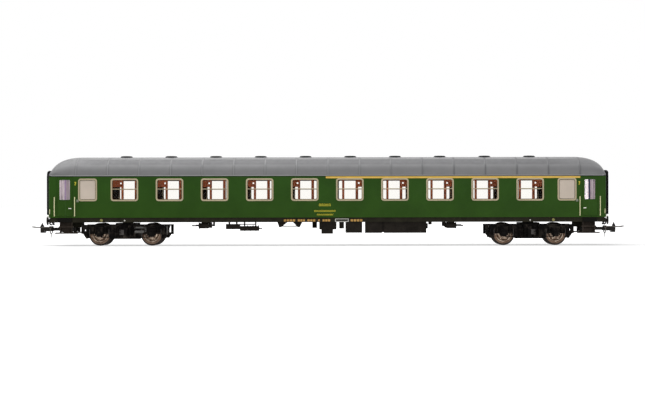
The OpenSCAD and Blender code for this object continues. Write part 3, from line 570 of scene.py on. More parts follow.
BODY_GREEN = green_coat()
ROOF_GREY = roof_grey()
VENT_GREY = plastic("vent_grey", colour(26, 26, 28), 0.7, shift=0.08, specular=0.02)
VENT_SKIRT = plastic("vent_skirt", colour(50, 50, 52), 0.6, shift=0.06)
GUTTER_GREY = plastic("gutter_grey", colour(146, 146, 147), 0.5, shift=0.05)
CREAM = plastic("frame_cream", colour(190, 176, 144), 0.4, 0.2, 0.003, shift=0.06)
RAIL_CREAM = plastic("handrail_cream", colour(238, 234, 184), 0.38, shift=0.05)
YELLOW_PRINT = plastic("yellow_print", colour(206, 194, 62), 0.45, shift=0.12, specular=0.1)
SOLE_PRINT = plastic("solebar_print", colour(196, 152, 84), 0.45, shift=0.15, specular=0.1)
WHITE_PRINT = plastic("white_print", colour(214, 212, 206), 0.45, shift=0.06)
SILVER = turned_metal("handle_silver", colour(224, 222, 208), colour(244, 242, 232), 0.3, 0.3)
MILKY = plastic("frosted_pane", colour(212, 198, 183), 0.5, 0.5, 0.004, shift=0.05)
CLEAR = clear_glazing()
RED_BROWN = plastic("interior_red", colour(178, 98, 60), 0.55, shift=0.14, specular=0.1)
SEAT_BROWN = plastic("seat_dark", colour(44, 28, 25), 0.8, 0.5, 0.03, shift=0.2, specular=0.05)
FLOOR_BROWN = plastic("interior_floor", colour(70, 40, 32), 0.7, shift=0.15, specular=0.1)
BALLAST = turned_metal("ballast_steel", colour(120, 120, 122), colour(150, 150, 152), 0.45, 0.9)
CHASSIS = dusty_plastic("chassis_dark", colour(40, 38, 29), colour(62, 58, 46))
EQUIPMENT = dusty_plastic("equipment_dark", colour(36, 32, 28), colour(58, 52, 46))
STEP_BROWN = step_brown()
# its pale clouds are partly dust and partly a painted highlight
BOGIE_BLACK = dusty_plastic("bogie_black", colour(20, 18, 17), colour(120, 110, 100), 0.04)
BOGIE_GREY = dusty_plastic("bogie_fitting_grey", colour(84, 80, 78), colour(112, 108, 104), 0.2)
SPOT_OLIVE = plastic("solebar_olive", colour(150, 144, 92), 0.6, shift=0.2, specular=0.1)
BAR_GREY = plastic("damper_bar_grey", colour(104, 102, 100), 0.4, shift=0.1)
BLACK = plastic("coupler_black", colour(30, 26, 22), 0.5, shift=0.2, specular=0.15)
RUBBER = plastic("gangway_rubber", colour(16, 16, 17), 0.8, 0.4, 0.03, shift=0.2, specular=0.04)
# dark rubber, tinted red-brown as a painted reflection of the interior
GASKET_INTERIOR_REFLECTION = plastic("gasket_dark", colour(74, 44, 34), 0.6, shift=0.15, specular=0.08)
WHEEL = turned_metal("wheel_bronze", colour(90, 68, 54), colour(124, 100, 82), 0.36, 0.7)
# painted highlight: the web's pale patches stand in for the bright crescents on the dished web
WHEEL_WEB_LIT = turned_metal("wheel_web", colour(120, 98, 82), colour(212, 194, 176), 0.3, 0.8)
# painted shade: wheel backs and flanges lie in shade under the coach
WHEEL_BACK_SHADE = turned_metal("wheel_back", colour(36, 29, 24), colour(58, 48, 41), 0.5, 0.5)
DOOR_SEAL = door_seal()
AXLE_STEEL = turned_metal("axle_steel", colour(92, 84, 76), colour(130, 122, 112), 0.35, 0.9)
LOOP_STEEL = turned_metal("loop_steel", colour(58, 54, 50), colour(92, 88, 84), 0.4, 0.8)
LENS_RED = plastic("lamp_red", colour(120, 14, 12), 0.15, shift=0.05)
BRACKET = plastic("bracket_grey_green", colour(124, 130, 112), 0.4, shift=0.08)
DARK_PANE = plastic("dark_pane", colour(26, 30, 32), 0.08, grain_depth=0.001, shift=0.1, specular=0.5)

NODES_BY_LOOK = (
    (BODY_GREEN, "body_shell", "end_doors"),
    (CREAM, "window_frames"),
    (CLEAR, "window_glass_left", "window_glass_right"),
    (MILKY, "toilet_panes"),
    (RED_BROWN, "cross_partitions", "corridor_wall"),
    (SEAT_BROWN, "seats"),
    (FLOOR_BROWN, "interior_floor"),
    (BALLAST, "ballast_plate"),
    (CHASSIS, "underframe", "bogie_pivots", "coupler_mounts"),
    (EQUIPMENT, "battery_boxes", "transformer", "air_reservoirs", "brake_cylinders"),
    (STEP_BROWN, "door_steps"),
    (RUBBER, "gangway_1", "gangway_2"),
    (RAIL_CREAM, "door_handrails"),
    (SILVER, "door_handles"),
    (BOGIE_BLACK, "bogie_frame_1", "bogie_frame_2", "brake_shoes_1", "brake_shoes_2"),
    (AXLE_STEEL, "axle_1", "axle_2", "axle_3", "axle_4"),
    (BLACK, "buffers", "coupler_1", "coupler_2"),
)
SOFT_EDGES = {
    "window_frames": 0.06, "underframe": 0.08, "battery_boxes": 0.12, "transformer": 0.12,
    "air_reservoirs": 0.12, "brake_cylinders": 0.1, "door_steps": 0.06, "buffers": 0.1,
    "bogie_frame_1": 0.08, "bogie_frame_2": 0.08, "coupler_1": 0.08, "coupler_2": 0.08,
    "seats": 0.45, "coupler_mounts": 0.1, "bogie_pivots": 0.1, "door_handles": 0.05,
}

for look, *node_names in NODES_BY_LOOK:
    for node_name in node_names:
        node_object = frame["nodes"][node_name]
        node_object.data.materials.clear()
        node_object.data.materials.append(look)
        if node_name in SOFT_EDGES:
            soften(node_object, SOFT_EDGES[node_name])


# ---- Roof ----

SHOULDER_R = 6.2
SHOULDER_UP = 0.9
ROOF_RISE = RIDGE_Z - EAVE_Z
CROWN_R = (((HALF_W - SHOULDER_R) ** 2 + (ROOF_RISE - SHOULDER_UP) ** 2 - SHOULDER_R ** 2)
           / (2 * (ROOF_RISE - SHOULDER_UP - SHOULDER_R)))
CROWN_HALF = math.asin((HALF_W - SHOULDER_R) / (CROWN_R - SHOULDER_R))
RIB_XS = [RIB_SHIFT + k * RIB_PITCH for k in range(-8, 9)]
# Ribs fade out over RIB_FADE, RIB_STOP below the ridge, and end at LAST_RIB of a dome's length.
# The dome's outline has the powers DOME_FULL and DOME_STEEP and narrows by DOME_TAPER.
RIB_HALF = 0.34
RIB_DEPTH = 0.16
RIB_STOP = 0.6
RIB_FADE = 1.5
DOME_FULL = 2.3
DOME_STEEP = 0.4
DOME_TAPER = 0.075
DOME_TIP = 0.9995
LAST_RIB = 0.9


def roof_section():
    """Half the roof's outline as (y, height above the eave, outward y, outward z)."""
    steps = 22
    points = [(HALF_W, 0.0, 1.0, 0.0), (HALF_W, SHOULDER_UP * 0.5, 1.0, 0.0)]
    shoulder_end = math.pi / 2 - CROWN_HALF
    for k in range(steps + 1):
        t = shoulder_end * k / steps
        y = HALF_W - SHOULDER_R + SHOULDER_R * math.cos(t)
        points.append((y, SHOULDER_UP + SHOULDER_R * math.sin(t), math.cos(t), math.sin(t)))
    for k in range(1, steps + 1):
        t = CROWN_HALF * (1 - k / steps)
        z = ROOF_RISE - CROWN_R + CROWN_R * math.cos(t)
        points.append((CROWN_R * math.sin(t), z, math.sin(t), math.cos(t)))
    return points


def rib_height(x):
    """How far the roof's skin stands out at x because of a seam."""
    nearest = min(abs(x - rib) for rib in RIB_XS)
    return RIB_DEPTH * max(0.0, 1 - (nearest / RIB_HALF) ** 2)


def roof_stations(start):
    """Where along the coach the roof's outlines stand: close at the ribs and round the domed ends."""
    level_steps = 60
    dome_steps = 40
    stations = set()
    for rib in RIB_XS:
        stations.update(rib + RIB_HALF * k / 3 for k in range(-4, 5))
    stations.update(-start + 2 * start * k / level_steps for k in range(level_steps + 1))
    for k in range(1, dome_steps + 1):
        u = math.sin(math.pi / 2 * k / dome_steps)
        stations.update((start + DOME_LEN * u * DOME_TIP, -start - DOME_LEN * u * DOME_TIP))
    return sorted(stations)


def roof_skin():
    """The roof's ribbed skin with its domed ends. The ribs stop short of the ridge."""
    start = HALF_LEN - DOME_LEN
    half = roof_section()
    shape = Shape()
    rings = []
    for x in roof_stations(start):
        u = max(0.0, abs(x) - start) / DOME_LEN
        tall = max(0.0, 1 - u ** DOME_FULL) ** DOME_STEEP
        wide = 1 - DOME_TAPER * u ** 3
        out = rib_height(x) * (1 if u < LAST_RIB else 0)
        skin = []
        for y, z, ny, nz in half:
            fade = max(0.0, min(1.0, (ROOF_RISE - RIB_STOP - z) / RIB_FADE))
            skin.append((x, (y + ny * out * fade) * wide, EAVE_Z + (z + nz * out * fade) * tall))
        rings.append(skin + [(a, -b, c) for a, b, c in reversed(skin[:-1])])
    shape.loft(rings)
    piece = shape.object("roof_skin", ROOF_GREY, "roof_grey", smooth_deg=50)
    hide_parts("roof")


def gutters():
    """A thin rain strip along both eaves, bent in at the ends."""
    shape = Shape()
    reach = HALF_LEN - 1.0
    bend_len = 1.6
    bend_in = 0.35
    section = ((-0.1, -0.12), (0.22, -0.12), (0.22, 0.32), (-0.1, 0.42))
    path = ((-reach, HALF_W - bend_in), (-reach + bend_len, HALF_W),
            (reach - bend_len, HALF_W), (reach, HALF_W - bend_in))
    outlines = [[(x, y + out, EAVE_Z + up) for out, up in section] for x, y in path]
    for pair in zip(outlines, outlines[1:]):
        shape.loft(pair)
    shape.object("roof_gutters", GUTTER_GREY, "roof_grey", OTHER_SIDE, bevel=0.06)


def vent_caps():
    """Low round ventilators: a flared skirt that sits on the crown, and a darker domed cap on it."""
    skirts = Shape()
    caps = Shape()
    cad_width = 6.8
    pitch = (vents_high[0] - vents_low[0] - cad_width) / (WINDOW_COUNT - 1)
    rise = vents_high[2] - 0.12 - RIDGE_Z
    r = 3.38
    sunk = -0.5
    skirt_top = rise * 0.36
    skirt = [(1.6, sunk), (r - 0.25, sunk), (r, sunk + 0.15), (r, rise * 0.18), (r - 0.12, rise * 0.3),
             (r - 0.5, skirt_top), (0.0, skirt_top)]
    cap = [(0.6, rise * 0.3), (r - 0.75, skirt_top), (r - 0.3, rise * 0.46), (r - 0.24, rise * 0.62),
           (r - 0.5, rise * 0.8), (r - 1.1, rise * 0.93), (r - 2.1, rise), (0.0, rise)]
    for k in range(WINDOW_COUNT):
        foot = ((k - (WINDOW_COUNT - 1) / 2) * pitch, 0, RIDGE_Z)
        skirts.lathe(skirt, foot, (0, 0, 1), sides=40)
        caps.lathe(cap, foot, (0, 0, 1), sides=40)
    piece = skirts.object("vent_skirts", VENT_SKIRT, "vent_grey")
    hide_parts("roof_ventilators")
    caps.object("vent_caps", VENT_GREY, "vent_grey")


# ---- Sides ----

def window_trims():
    """Thin metal window frames with a cross bar, and a dark rubber line inside each, tinted red-brown as a
    painted reflection of the interior.
    """
    trims = Shape()
    rubber = Shape()
    trim_w = 0.82
    trim_back = HALF_W - 0.3
    trim_face = HALF_W + 0.19
    hem_lap = 0.1
    lip_w = 0.5
    bar_z = WINDOW_Z + 0.4
    bar_lap = 0.05
    for x, w in [(x, WINDOW_W) for x in WINDOW_XS] + [(-TOILET_X, TOILET_W), (TOILET_X, TOILET_W)]:
        clear_w = w - 2 * trim_w
        clear_h = WINDOW_H - 2 * trim_w
        outer = rounded_outline(w, WINDOW_H, 1.5, x, WINDOW_Z)
        inner = rounded_outline(clear_w, clear_h, 0.9, x, WINDOW_Z)
        trims.ring(outer, inner, "y", trim_back, trim_face)
        hem = rounded_outline(clear_w + hem_lap, clear_h + hem_lap, 0.95, x, WINDOW_Z)
        lip = rounded_outline(clear_w - lip_w, clear_h - lip_w, 0.7, x, WINDOW_Z)
        rubber.ring(hem, lip, "y", HALF_W - 0.5, HALF_W - 0.1)
        bar_half, bar_face = (0.2, HALF_W + 0.02) if w == WINDOW_W else (0.1, HALF_W - 0.18)
        bar_x = (x - w / 2 + trim_w - bar_lap, x + w / 2 - trim_w + bar_lap)
        trims.box(bar_x, (trim_back, bar_face), about(bar_z, bar_half))
    piece = trims.object("window_trims", CREAM, "frame_cream", OTHER_SIDE, bevel=0.09)
    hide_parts("window_frames")
    rubber.object("window_rubbers", GASKET_INTERIOR_REFLECTION, "frame_cream", OTHER_SIDE)


def door_seals():
    """The folding doors' rubber seals: wide between the panes, and thin from sill to eave."""
    seals = Shape()
    middle = DOOR_X - 0.35
    seals.box(about(middle, 0.42), (HALF_W - 0.35, HALF_W - 0.02), about(WINDOW_Z, 5.42))
    seals.box(about(middle, 0.1), (HALF_W - 0.2, HALF_W + 0.05), (SILL_Z + 0.5, EAVE_Z - 1.2))
    seals.object("door_seals", DOOR_SEAL, "frame_cream", OTHER_CORNERS)


def door_rims():
    """The doors' window surrounds, their hinges and a kick strip."""
    rims = Shape()
    proud = HALF_W + 0.06
    outer = rounded_outline(6.2, 11.3, 0.6, DOOR_X, WINDOW_Z)
    inner = rounded_outline(5.6, 10.7, 0.4, DOOR_X, WINDOW_Z)
    rims.ring(outer, inner, "y", HALF_W - 0.3, proud)
    edge = DOOR_X + DOOR_W / 2 - 0.1
    hinge_len = 0.9
    for z in (SILL_Z + 2.2, SILL_Z + 8.0, SILL_Z + 19.5):
        rims.bar(edge, HALF_W + 0.02, (z, z + hinge_len), 0.14, 8)
    rims.box(about(DOOR_X, 3.6), (HALF_W - 0.1, proud), (SILL_Z + 1.0, SILL_Z + 1.2))
    rims.object("door_rims", BODY_GREEN, "body_green", OTHER_CORNERS, bevel=0.04)


def data_bars(shape, y):
    """Three rows of short bars, every second one joined to the next by a cap.

    A row is its middle's height, how tall and wide it is, and its number of bars.
    """
    middle_x = -1.25
    rows = ((22.0, 1.5, 6.5, 10), (18.7, 1.0, 11.6, 22), (16.75, 0.9, 8.8, 17))
    for middle, tall, wide, bars in rows:
        step = wide / bars
        for k in range(bars):
            left = middle_x - wide / 2 + k * step
            shape.box((left, left + step * 0.55), y, (middle - tall / 2, middle + tall / 2))
            if k % 2 == 0:
                shape.box((left, left + step * 1.4), y, (middle + tall * 0.32, middle + tall / 2))


def printed_marks():
    """Plain yellow bars where a coach carries its data. They spell nothing."""
    y = (-HALF_W - 0.02, -HALF_W + 0.05)
    shape = Shape()
    data_bars(shape, y)
    mark_x = 135.5
    low, lower, upper, high = 32.6, 33.2, 33.9, 34.5
    for x in (-mark_x, mark_x):
        shape.box(about(x, 0.42), y, (upper, high))
        shape.box((x - 0.1, x + 0.35), y, (lower, upper))
        shape.box((x - 0.35, x + 0.1), y, (low, lower))
    shape.object("printed_marks", YELLOW_PRINT, "frame_cream")
    far = Shape()
    far.add(shape.points, shape.faces)
    far.turned()
    far.object("printed_marks_far", YELLOW_PRINT, "frame_cream")


SOLEBAR_PAINT_Y = (-SOLE_Y - 0.03, -SOLE_Y + 0.05)


def solebar_dashes():
    """Short painted dashes along the solebar, in runs of (start, end, number of dashes)."""
    shape = Shape()
    height = (SOLE_Z + 0.35, SOLE_Z + 1.5)
    share = 0.78
    runs = ((-23.4, -17.0, 4), (-15.9, -11.8, 3), (-10.7, -6.2, 3),
            (-5.0, -3.8, 1), (-2.6, 1.8, 3), (12.5, 19.2, 4))
    for start, end, dashes in runs:
        step = (end - start) / dashes
        for k in range(dashes):
            shape.box((start + k * step, start + (k + share) * step), SOLEBAR_PAINT_Y, height)
    shape.object("solebar_dashes", SOLE_PRINT, "frame_cream")


def solebar_plate():
    """A framed blank plate, and a small white spot over each bogie."""
    plate_x = 7.8
    plate_z = SOLE_Z + 1.0
    spot = [(0.0, 0.0), (0.42, 0.0), (0.42, 0.3), (0.0, 0.3)]
    plate = Shape()
    outer = rounded_outline(7.3, 1.75, 0.2, plate_x, plate_z)
    inner = rounded_outline(6.5, 1.0, 0.1, plate_x, plate_z)
    plate.ring(outer, inner, "y", *SOLEBAR_PAINT_Y)
    for x in (-PIVOT_X, PIVOT_X):
        plate.lathe(spot, (x, -SOLE_Y + 0.2, SOLE_Z + 0.95), (0, -1, 0), 16)
    plate.object("solebar_plate", WHITE_PRINT, "frame_cream")


def solebar_spots():
    """A larger raised spot outside of each bogie's middle."""
    beside = 12.5
    spot = [(0.0, 0.0), (0.8, 0.0), (0.8, 0.25), (0.55, 0.4), (0.0, 0.42)]
    spots = Shape()
    for x in (-PIVOT_X - beside, PIVOT_X + beside):
        spots.lathe(spot, (x, -SOLE_Y + 0.1, SOLE_Z + 1.1), (0, -1, 0), 20)
    spots.object("solebar_spots", SPOT_OLIVE, "frame_cream", OTHER_SIDE)


def side_brackets():
    """A small pressed bracket beside each toilet window, by the door."""
    shape = Shape()
    x = 134.4
    z = 24.3
    shape.box((x - 0.75, x + 0.55), (HALF_W - 0.05, HALF_W + 0.28), about(z, 0.7))
    shape.bar(x - 0.1, (HALF_W, HALF_W + 0.5), z, 0.3, 12)
    shape.object("side_brackets", BRACKET, "handle_silver", OTHER_CORNERS, bevel=0.06)


# ---- Ends ----

def corner_rails():
    """A short handrail round each lower corner of the body."""
    rails = Shape()
    x = HALF_LEN - 0.75
    foot = HALF_W - 0.1
    out = HALF_W + 0.42
    low, high = 17.3, 19.6
    rails.tube([(x, foot, low), (x, out, low), (x, out, high), (x, foot, high)], 0.2)
    rails.object("corner_rails", RAIL_CREAM, "handrail_brass", OTHER_CORNERS)


def tail_lamps():
    """A rimmed red tail lamp low on each side of both ends."""
    centre = (HALF_LEN - 0.15, 14.2, SILL_Z + 0.7)
    rim = [(0.0, 0.0), (0.95, 0.0), (0.95, 0.6), (0.8, 0.72), (0.68, 0.72), (0.64, 0.4), (0.0, 0.4)]
    lens = [(0.0, 0.0), (0.62, 0.0), (0.62, 0.5), (0.4, 0.66), (0.0, 0.72)]
    for name, profile, material in (("lamp_rims", rim, SILVER), ("lamp_lenses", lens, LENS_RED)):
        shape = Shape()
        shape.lathe(profile, centre, (1, 0, 0), 24)
        shape.object(name, material, "handle_silver", OTHER_CORNERS)


def lamp_iron(shape, y, z):
    """A small angle that a lamp hangs on."""
    shape.box((HALF_LEN - 0.1, HALF_LEN + 0.3), about(y, 0.5), about(z, 0.2))
    shape.box((HALF_LEN + 0.2, HALF_LEN + 0.4), about(y, 0.35), (z - 0.2, z + 1.3))


def hose(shape, y):
    """A brake or heating hose: its cock on the headstock, the bent hose and its coupling head."""
    base = HALF_LEN - 0.3
    cock_z = SOLE_Z + 1.5
    shape.bar((base, base + 0.8), y, cock_z, 0.42, 12)
    shape.tube([(base + 0.6, y, cock_z), (base + 1.2, y, SOLE_Z + 1.2), (base + 1.4, y, SOLE_Z + 0.2),
                (base + 1.3, y - 0.2, SOLE_Z - 0.9), (base + 0.9, y - 0.5, SOLE_Z - 1.3)], 0.26, 10)
    shape.rod((base + 1.0, y - 0.4, SOLE_Z - 1.2), (base + 0.5, y - 0.8, SOLE_Z - 1.4), 0.36, 10)


def end_irons_and_hoses():
    """Lamp irons, sockets and hoses, on both sides of the coupling."""
    irons = Shape()
    iron_y = 11.6
    for z in (33.5, 20.5):
        lamp_iron(irons, iron_y, z)
    irons.box((HALF_LEN - 0.3, HALF_LEN + 0.5), (11.9, 13.5), (SILL_Z + 2.6, SILL_Z + 4.4))
    for y in (3.9, 6.0):
        hose(irons, y)
    irons.object("end_irons_and_hoses", BLACK, "coupler_black", OTHER_CORNERS, bevel=0.04)


def gangway_doors():
    """The end doors' windows, with their surround, a kick plate and a handle."""
    door_low, door_high = mm_box("end_doors")
    face = HALF_LEN - 0.3
    middle = WINDOW_Z - 0.5
    panes = Shape()
    panes.prism(rounded_outline(3.7, 9.1, 0.6, 0, middle), "x", face - 0.5, face - 0.2)
    panes.object("gangway_door_panes", DARK_PANE, "clear_glazing", OTHER_END)

    fittings = Shape()
    outer = rounded_outline(4.3, 9.7, 0.8, 0, middle)
    inner = rounded_outline(3.5, 8.9, 0.5, 0, middle)
    fittings.ring(outer, inner, "x", face - 0.1, face + 0.1)
    kick_y = (door_low[1] + 0.5, door_high[1] - 0.5)
    fittings.box((face - 0.05, face + 0.12), kick_y, (door_low[2] + 0.4, door_low[2] + 2.2))
    handle_y = door_high[1] - 0.8
    handle_z = middle - 7.0
    fittings.bar((face, face + 0.5), handle_y, handle_z, 0.22, 10)
    fittings.bar(face + 0.45, (handle_y, door_high[1] - 2.0), handle_z, 0.2, 10)
    fittings.object("gangway_door_fittings", SILVER, "handle_silver", OTHER_END, bevel=0.04)


def gangway_treads():
    """Ribbed tread plates that bridge the gangway, one over each coupling."""
    treads = Shape()
    plate_z = SILL_Z + 1.3
    rib_half = 4.4
    plate_half = 4.6
    ribs = 5
    rib_pitch = 0.32
    for k in range(ribs):
        rib_x = (HALF_LEN + 0.1 + k * rib_pitch, HALF_LEN + 0.3 + k * rib_pitch)
        treads.box(rib_x, (-rib_half, rib_half), (plate_z + 0.15, plate_z + 0.3))
    treads.box((HALF_LEN - 0.1, HALF_LEN + 1.75), (-plate_half, plate_half), (plate_z - 0.1, plate_z + 0.18))
    treads.object("gangway_treads", EQUIPMENT, "chassis_dark", OTHER_END, bevel=0.03)


# ---- Wheels ----

WHEEL_R = AXLE_Z
TREAD_R = WHEEL_R - 0.9
WHEEL_BACK = 7.2
FACE = 2.8
FLANGE_W = 1.0
BORE_R = 1.0
HUB_R = 2.0
WEB_R = TREAD_R - 1.08
RIM_LAP_R = TREAD_R + 0.06
BOLT_CIRCLE_R = 3.05
BACK_PROFILE = [
    (BORE_R, 0.0), (WHEEL_R - 0.5, 0.0), (WHEEL_R - 0.14, 0.1), (WHEEL_R, 0.34), (WHEEL_R - 0.1, 0.6),
    (TREAD_R + 0.3, 0.84), (RIM_LAP_R, FLANGE_W), (BORE_R, FLANGE_W)]
RIM_PROFILE = [
    (WEB_R, FLANGE_W - 0.05), (RIM_LAP_R, FLANGE_W - 0.05), (TREAD_R, FACE - 0.3),
    (TREAD_R - 0.15, FACE - 0.06), (TREAD_R - 0.3, FACE), (TREAD_R - 0.8, FACE),
    (TREAD_R - 0.95, FACE - 0.12), (WEB_R, FACE - 0.5)]
WEB_PROFILE = [
    (BORE_R, FLANGE_W - 0.03), (WEB_R + 0.02, FLANGE_W - 0.03), (WEB_R + 0.02, FACE - 0.7),
    (WEB_R - 0.18, FACE - 0.7), (WEB_R - 0.24, FACE - 0.3), (WEB_R - 0.45, FACE - 0.22),
    (WEB_R - 0.8, FACE - 0.55), (2.7, FACE - 1.1), (2.2, FACE - 1.0), (HUB_R, FACE - 0.3),
    (HUB_R - 0.3, FACE - 0.1), (BORE_R, FACE - 0.1)]


def wheelset(n):
    """Two turned wheels: back and flange painted dark as shade, bronze rim, and a web with bolts painted
    lighter as a highlight.
    """
    x = joint_place("wheelset_%d_roll" % n)[0]
    bolts = 6
    bolt_r = 0.28
    backs = Shape()
    rims = Shape()
    webs = Shape()
    for side in (-1, 1):
        centre = (x, side * WHEEL_BACK, AXLE_Z)
        backs.lathe(BACK_PROFILE, centre, (0, side, 0), 72)
        rims.lathe(RIM_PROFILE, centre, (0, side, 0), 72, closed=True)
        webs.lathe(WEB_PROFILE, centre, (0, side, 0), 72)
        bolt_y = (side * (WHEEL_BACK + FACE - 1.1), side * (WHEEL_BACK + FACE - 0.75))
        for k in range(bolts):
            t = 2 * math.pi * k / bolts
            out = BOLT_CIRCLE_R * math.cos(t)
            up = BOLT_CIRCLE_R * math.sin(t)
            webs.bar(x + out, bolt_y, AXLE_Z + up, bolt_r, 10)
    common = dict(slot="wheel_bronze", body="wheelset_%d" % n, smooth_deg=30)
    piece = rims.object("wheel_rims_%d" % n, WHEEL, **common)
    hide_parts("wheels_%d" % n)
    webs.object("wheel_webs_%d" % n, WHEEL_WEB_LIT, **common)
    backs.object("wheel_backs_%d" % n, WHEEL_BACK_SHADE, **common)


# ---- Bogies ----
# A bogie's shapes are drawn about its pivot, facing end 1, and put in place at the end.

FRAME_OUT = 12.0
BOX_OUT = 12.9
SIDE_TOP = 11.4
BEAM_Z = 6.5
SADDLE_TOP = 7.0
SPRING_TOP = 10.8
BOGIE_END = 23.8
BOLSTER_SPRINGS = [3.6 * k for k in (-1.45, -0.72, 0.72, 1.45)]
PLANK_TOP = 4.4
SPRING_X = 3.4
SPRING_R = 0.95
SPRING_WIRE = 0.2
SPRING_CORE_R = 0.5
UPPER_CUP_R = 1.15
LOWER_CUP_R = 1.1
SPRING_Y = FRAME_OUT + SPRING_R
ON_FRAME = FRAME_OUT - 0.05


def coil(shape, x, y, low, high, turns):
    """A coil spring standing between two heights."""
    steps = int(turns * 14)
    r = SPRING_R - SPRING_WIRE
    climb = high - low - 2 * SPRING_WIRE
    path = []
    for k in range(steps + 1):
        t = 2 * math.pi * turns * k / steps
        path.append((x + r * math.cos(t), y + r * math.sin(t), low + SPRING_WIRE + climb * k / steps))
    shape.tube(path, SPRING_WIRE, 6)


def bogie_object(shape, n, name, material, copies=OTHER_SIDE, bevel=0.0):
    """Mirrors a shape, puts it on bogie 1, or turned round on bogie 2, and makes its mesh."""
    shape.mirrored(copies)
    if n == 2:
        shape.turned()
    shape.moved(PIVOT_X if n == 1 else -PIVOT_X)
    return shape.object("%s_%d" % (name, n), material, slot="bogie_black", body="bogie_%d" % n, bevel=bevel)


def bogie_springs(n):
    """Coil springs round dark cores: two at each axle and four under the bolster, a side."""
    shape = Shape()
    y = SPRING_Y + 0.05
    spots = [(s * HALF_BASE + k * SPRING_X, SADDLE_TOP, 4) for s in (-1, 1) for k in (-1, 1)]
    spots += [(x, PLANK_TOP, 7) for x in BOLSTER_SPRINGS]
    for x, low, turns in spots:
        coil(shape, x, y, low, SPRING_TOP, turns)
        shape.bar(x, y, (low, SPRING_TOP), SPRING_CORE_R, 12)
    piece = bogie_object(shape, n, "spring_coils", BOGIE_BLACK)
    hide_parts("bogie_springs_%d" % n)


def upper_spring_cup(shape, x):
    """The cup under the top flange that a spring's upper end sits in."""
    shape.bar(x, SPRING_Y, (SPRING_TOP - 0.9, SPRING_TOP + 0.1), UPPER_CUP_R, 20)


def axle_box_cover(shape, axle):
    """A turned cover with four bolts, over the CAD box."""
    cover = [(0.0, 0.0), (1.3, 0.0), (1.3, 0.3), (1.1, 0.45), (0.5, 0.5), (0.0, 0.5)]
    bolt_x = 1.3
    bolt_z = 1.5
    shape.lathe(cover, (axle, BOX_OUT + 0.3, AXLE_Z + 0.2), (0, 1, 0), 28)
    for a, b in ((1, 1), (1, -1), (-1, 1), (-1, -1)):
        shape.bar(axle + a * bolt_x, (BOX_OUT - 0.05, BOX_OUT + 0.28), AXLE_Z + 0.5 + b * bolt_z, 0.2, 6)


def axle_fittings(shape, axle):
    """What a bogie's side carries round one axle: cover, spring cups, yoke and web ribs."""
    axle_box_cover(shape, axle)
    for k in (-1, 1):
        x = axle + k * SPRING_X
        upper_spring_cup(shape, x)
        shape.bar(x, SPRING_Y, (SADDLE_TOP - 0.1, SADDLE_TOP + 0.5), LOWER_CUP_R, 20)
    # yoke over the axle box, two posts and a bridge
    post_x = 2.05
    for k in (-1, 1):
        shape.box(about(axle + k * post_x, 0.22), (ON_FRAME, BOX_OUT + 0.2), (5.4, 10.4))
    shape.box(about(axle, 2.2), (ON_FRAME, BOX_OUT + 0.1), (9.5, 10.1))
    # web ribs at both sides of the axle
    rib_x = 6.0
    for k in (-rib_x, rib_x):
        shape.box(about(axle + k, 0.15), (ON_FRAME, FRAME_OUT + 0.5), (BEAM_Z + 0.1, SIDE_TOP - 0.5))


def side_beam_fittings(shape):
    """Brake rod with its hangers, cups of the bolster springs, and a ledge and rivets on the beam."""
    rod_half, rod_z = 13.2, 4.7
    shape.bar((-rod_half, rod_half), FRAME_OUT + 0.3, rod_z, 0.22, 8)
    hanger_x = 8.6
    for x in (-hanger_x, hanger_x):
        shape.box(about(x, 0.2), (FRAME_OUT - 0.1, FRAME_OUT + 0.45), (4.5, 9.6))
    for x in BOLSTER_SPRINGS:
        upper_spring_cup(shape, x)
    ledge_x = (-BOGIE_END + 0.4, BOGIE_END - 0.4)
    shape.box(ledge_x, (ON_FRAME, FRAME_OUT + 0.22), (BEAM_Z + 0.1, BEAM_Z + 0.45))
    rivets = 18
    for k in range(rivets):
        x = (2 * k / (rivets - 1) - 1) * (BOGIE_END - 1.4)
        shape.bar(x, (ON_FRAME, FRAME_OUT + 0.14), SIDE_TOP - 1.1, 0.16, 6)


def bogie_fittings(n):
    """Everything dark that is fixed on a bogie's sides."""
    dark = Shape()
    for s in (-1, 1):
        axle_fittings(dark, s * HALF_BASE)
    side_beam_fittings(dark)
    bogie_object(dark, n, "bogie_fittings", BOGIE_BLACK, bevel=0.05)


def bogie_pale_fittings(n):
    """The centre block with its knob, and thin upright straps beside the axles whose pale grey is a painted
    highlight.
    """
    pale = Shape()
    knob_x, knob_z = 1.9, 7.9
    strap_x = 5.2
    pale.box((0.7, 3.0), (BOX_OUT + 0.2, BOX_OUT + 0.75), (5.9, 8.7))
    pale.bar(knob_x, (BOX_OUT + 0.7, BOX_OUT + 1.0), knob_z, 0.5, 12)
    # painted highlight: the straps' pale grey stands in for light on the springs
    for s in (-1, 1):
        for k in (-1, 1):
            pale.box(about(s * HALF_BASE + k * strap_x, 0.13), (ON_FRAME, FRAME_OUT + 0.75), (5.0, 9.0))
    bogie_object(pale, n, "bogie_pale_fittings", BOGIE_GREY, bevel=0.08)


def damper_bars(n):
    """Two lengthwise dampers with their bracket on one side, and a post at the bogie's inner end."""
    bars = Shape()
    upper_z, lower_z = 9.9, 7.6
    post_x = (-BOGIE_END + 1.0, -BOGIE_END + 1.45)
    bars.bar((-10.8, -4.9), FRAME_OUT + 1.3, upper_z, 0.5, 16)
    bars.bar((-10.2, -5.2), FRAME_OUT + 1.2, lower_z, 0.75, 18)
    bars.box((-11.4, -10.6), (FRAME_OUT - 0.1, FRAME_OUT + 1.5), (lower_z - 0.7, upper_z + 0.6))
    bars.box(post_x, about(FRAME_OUT, 0.1), (6.2, 11.0))
    bogie_object(bars, n, "damper_bars", BAR_GREY, copies=(), bevel=0.06)


# ---- Couplings ----

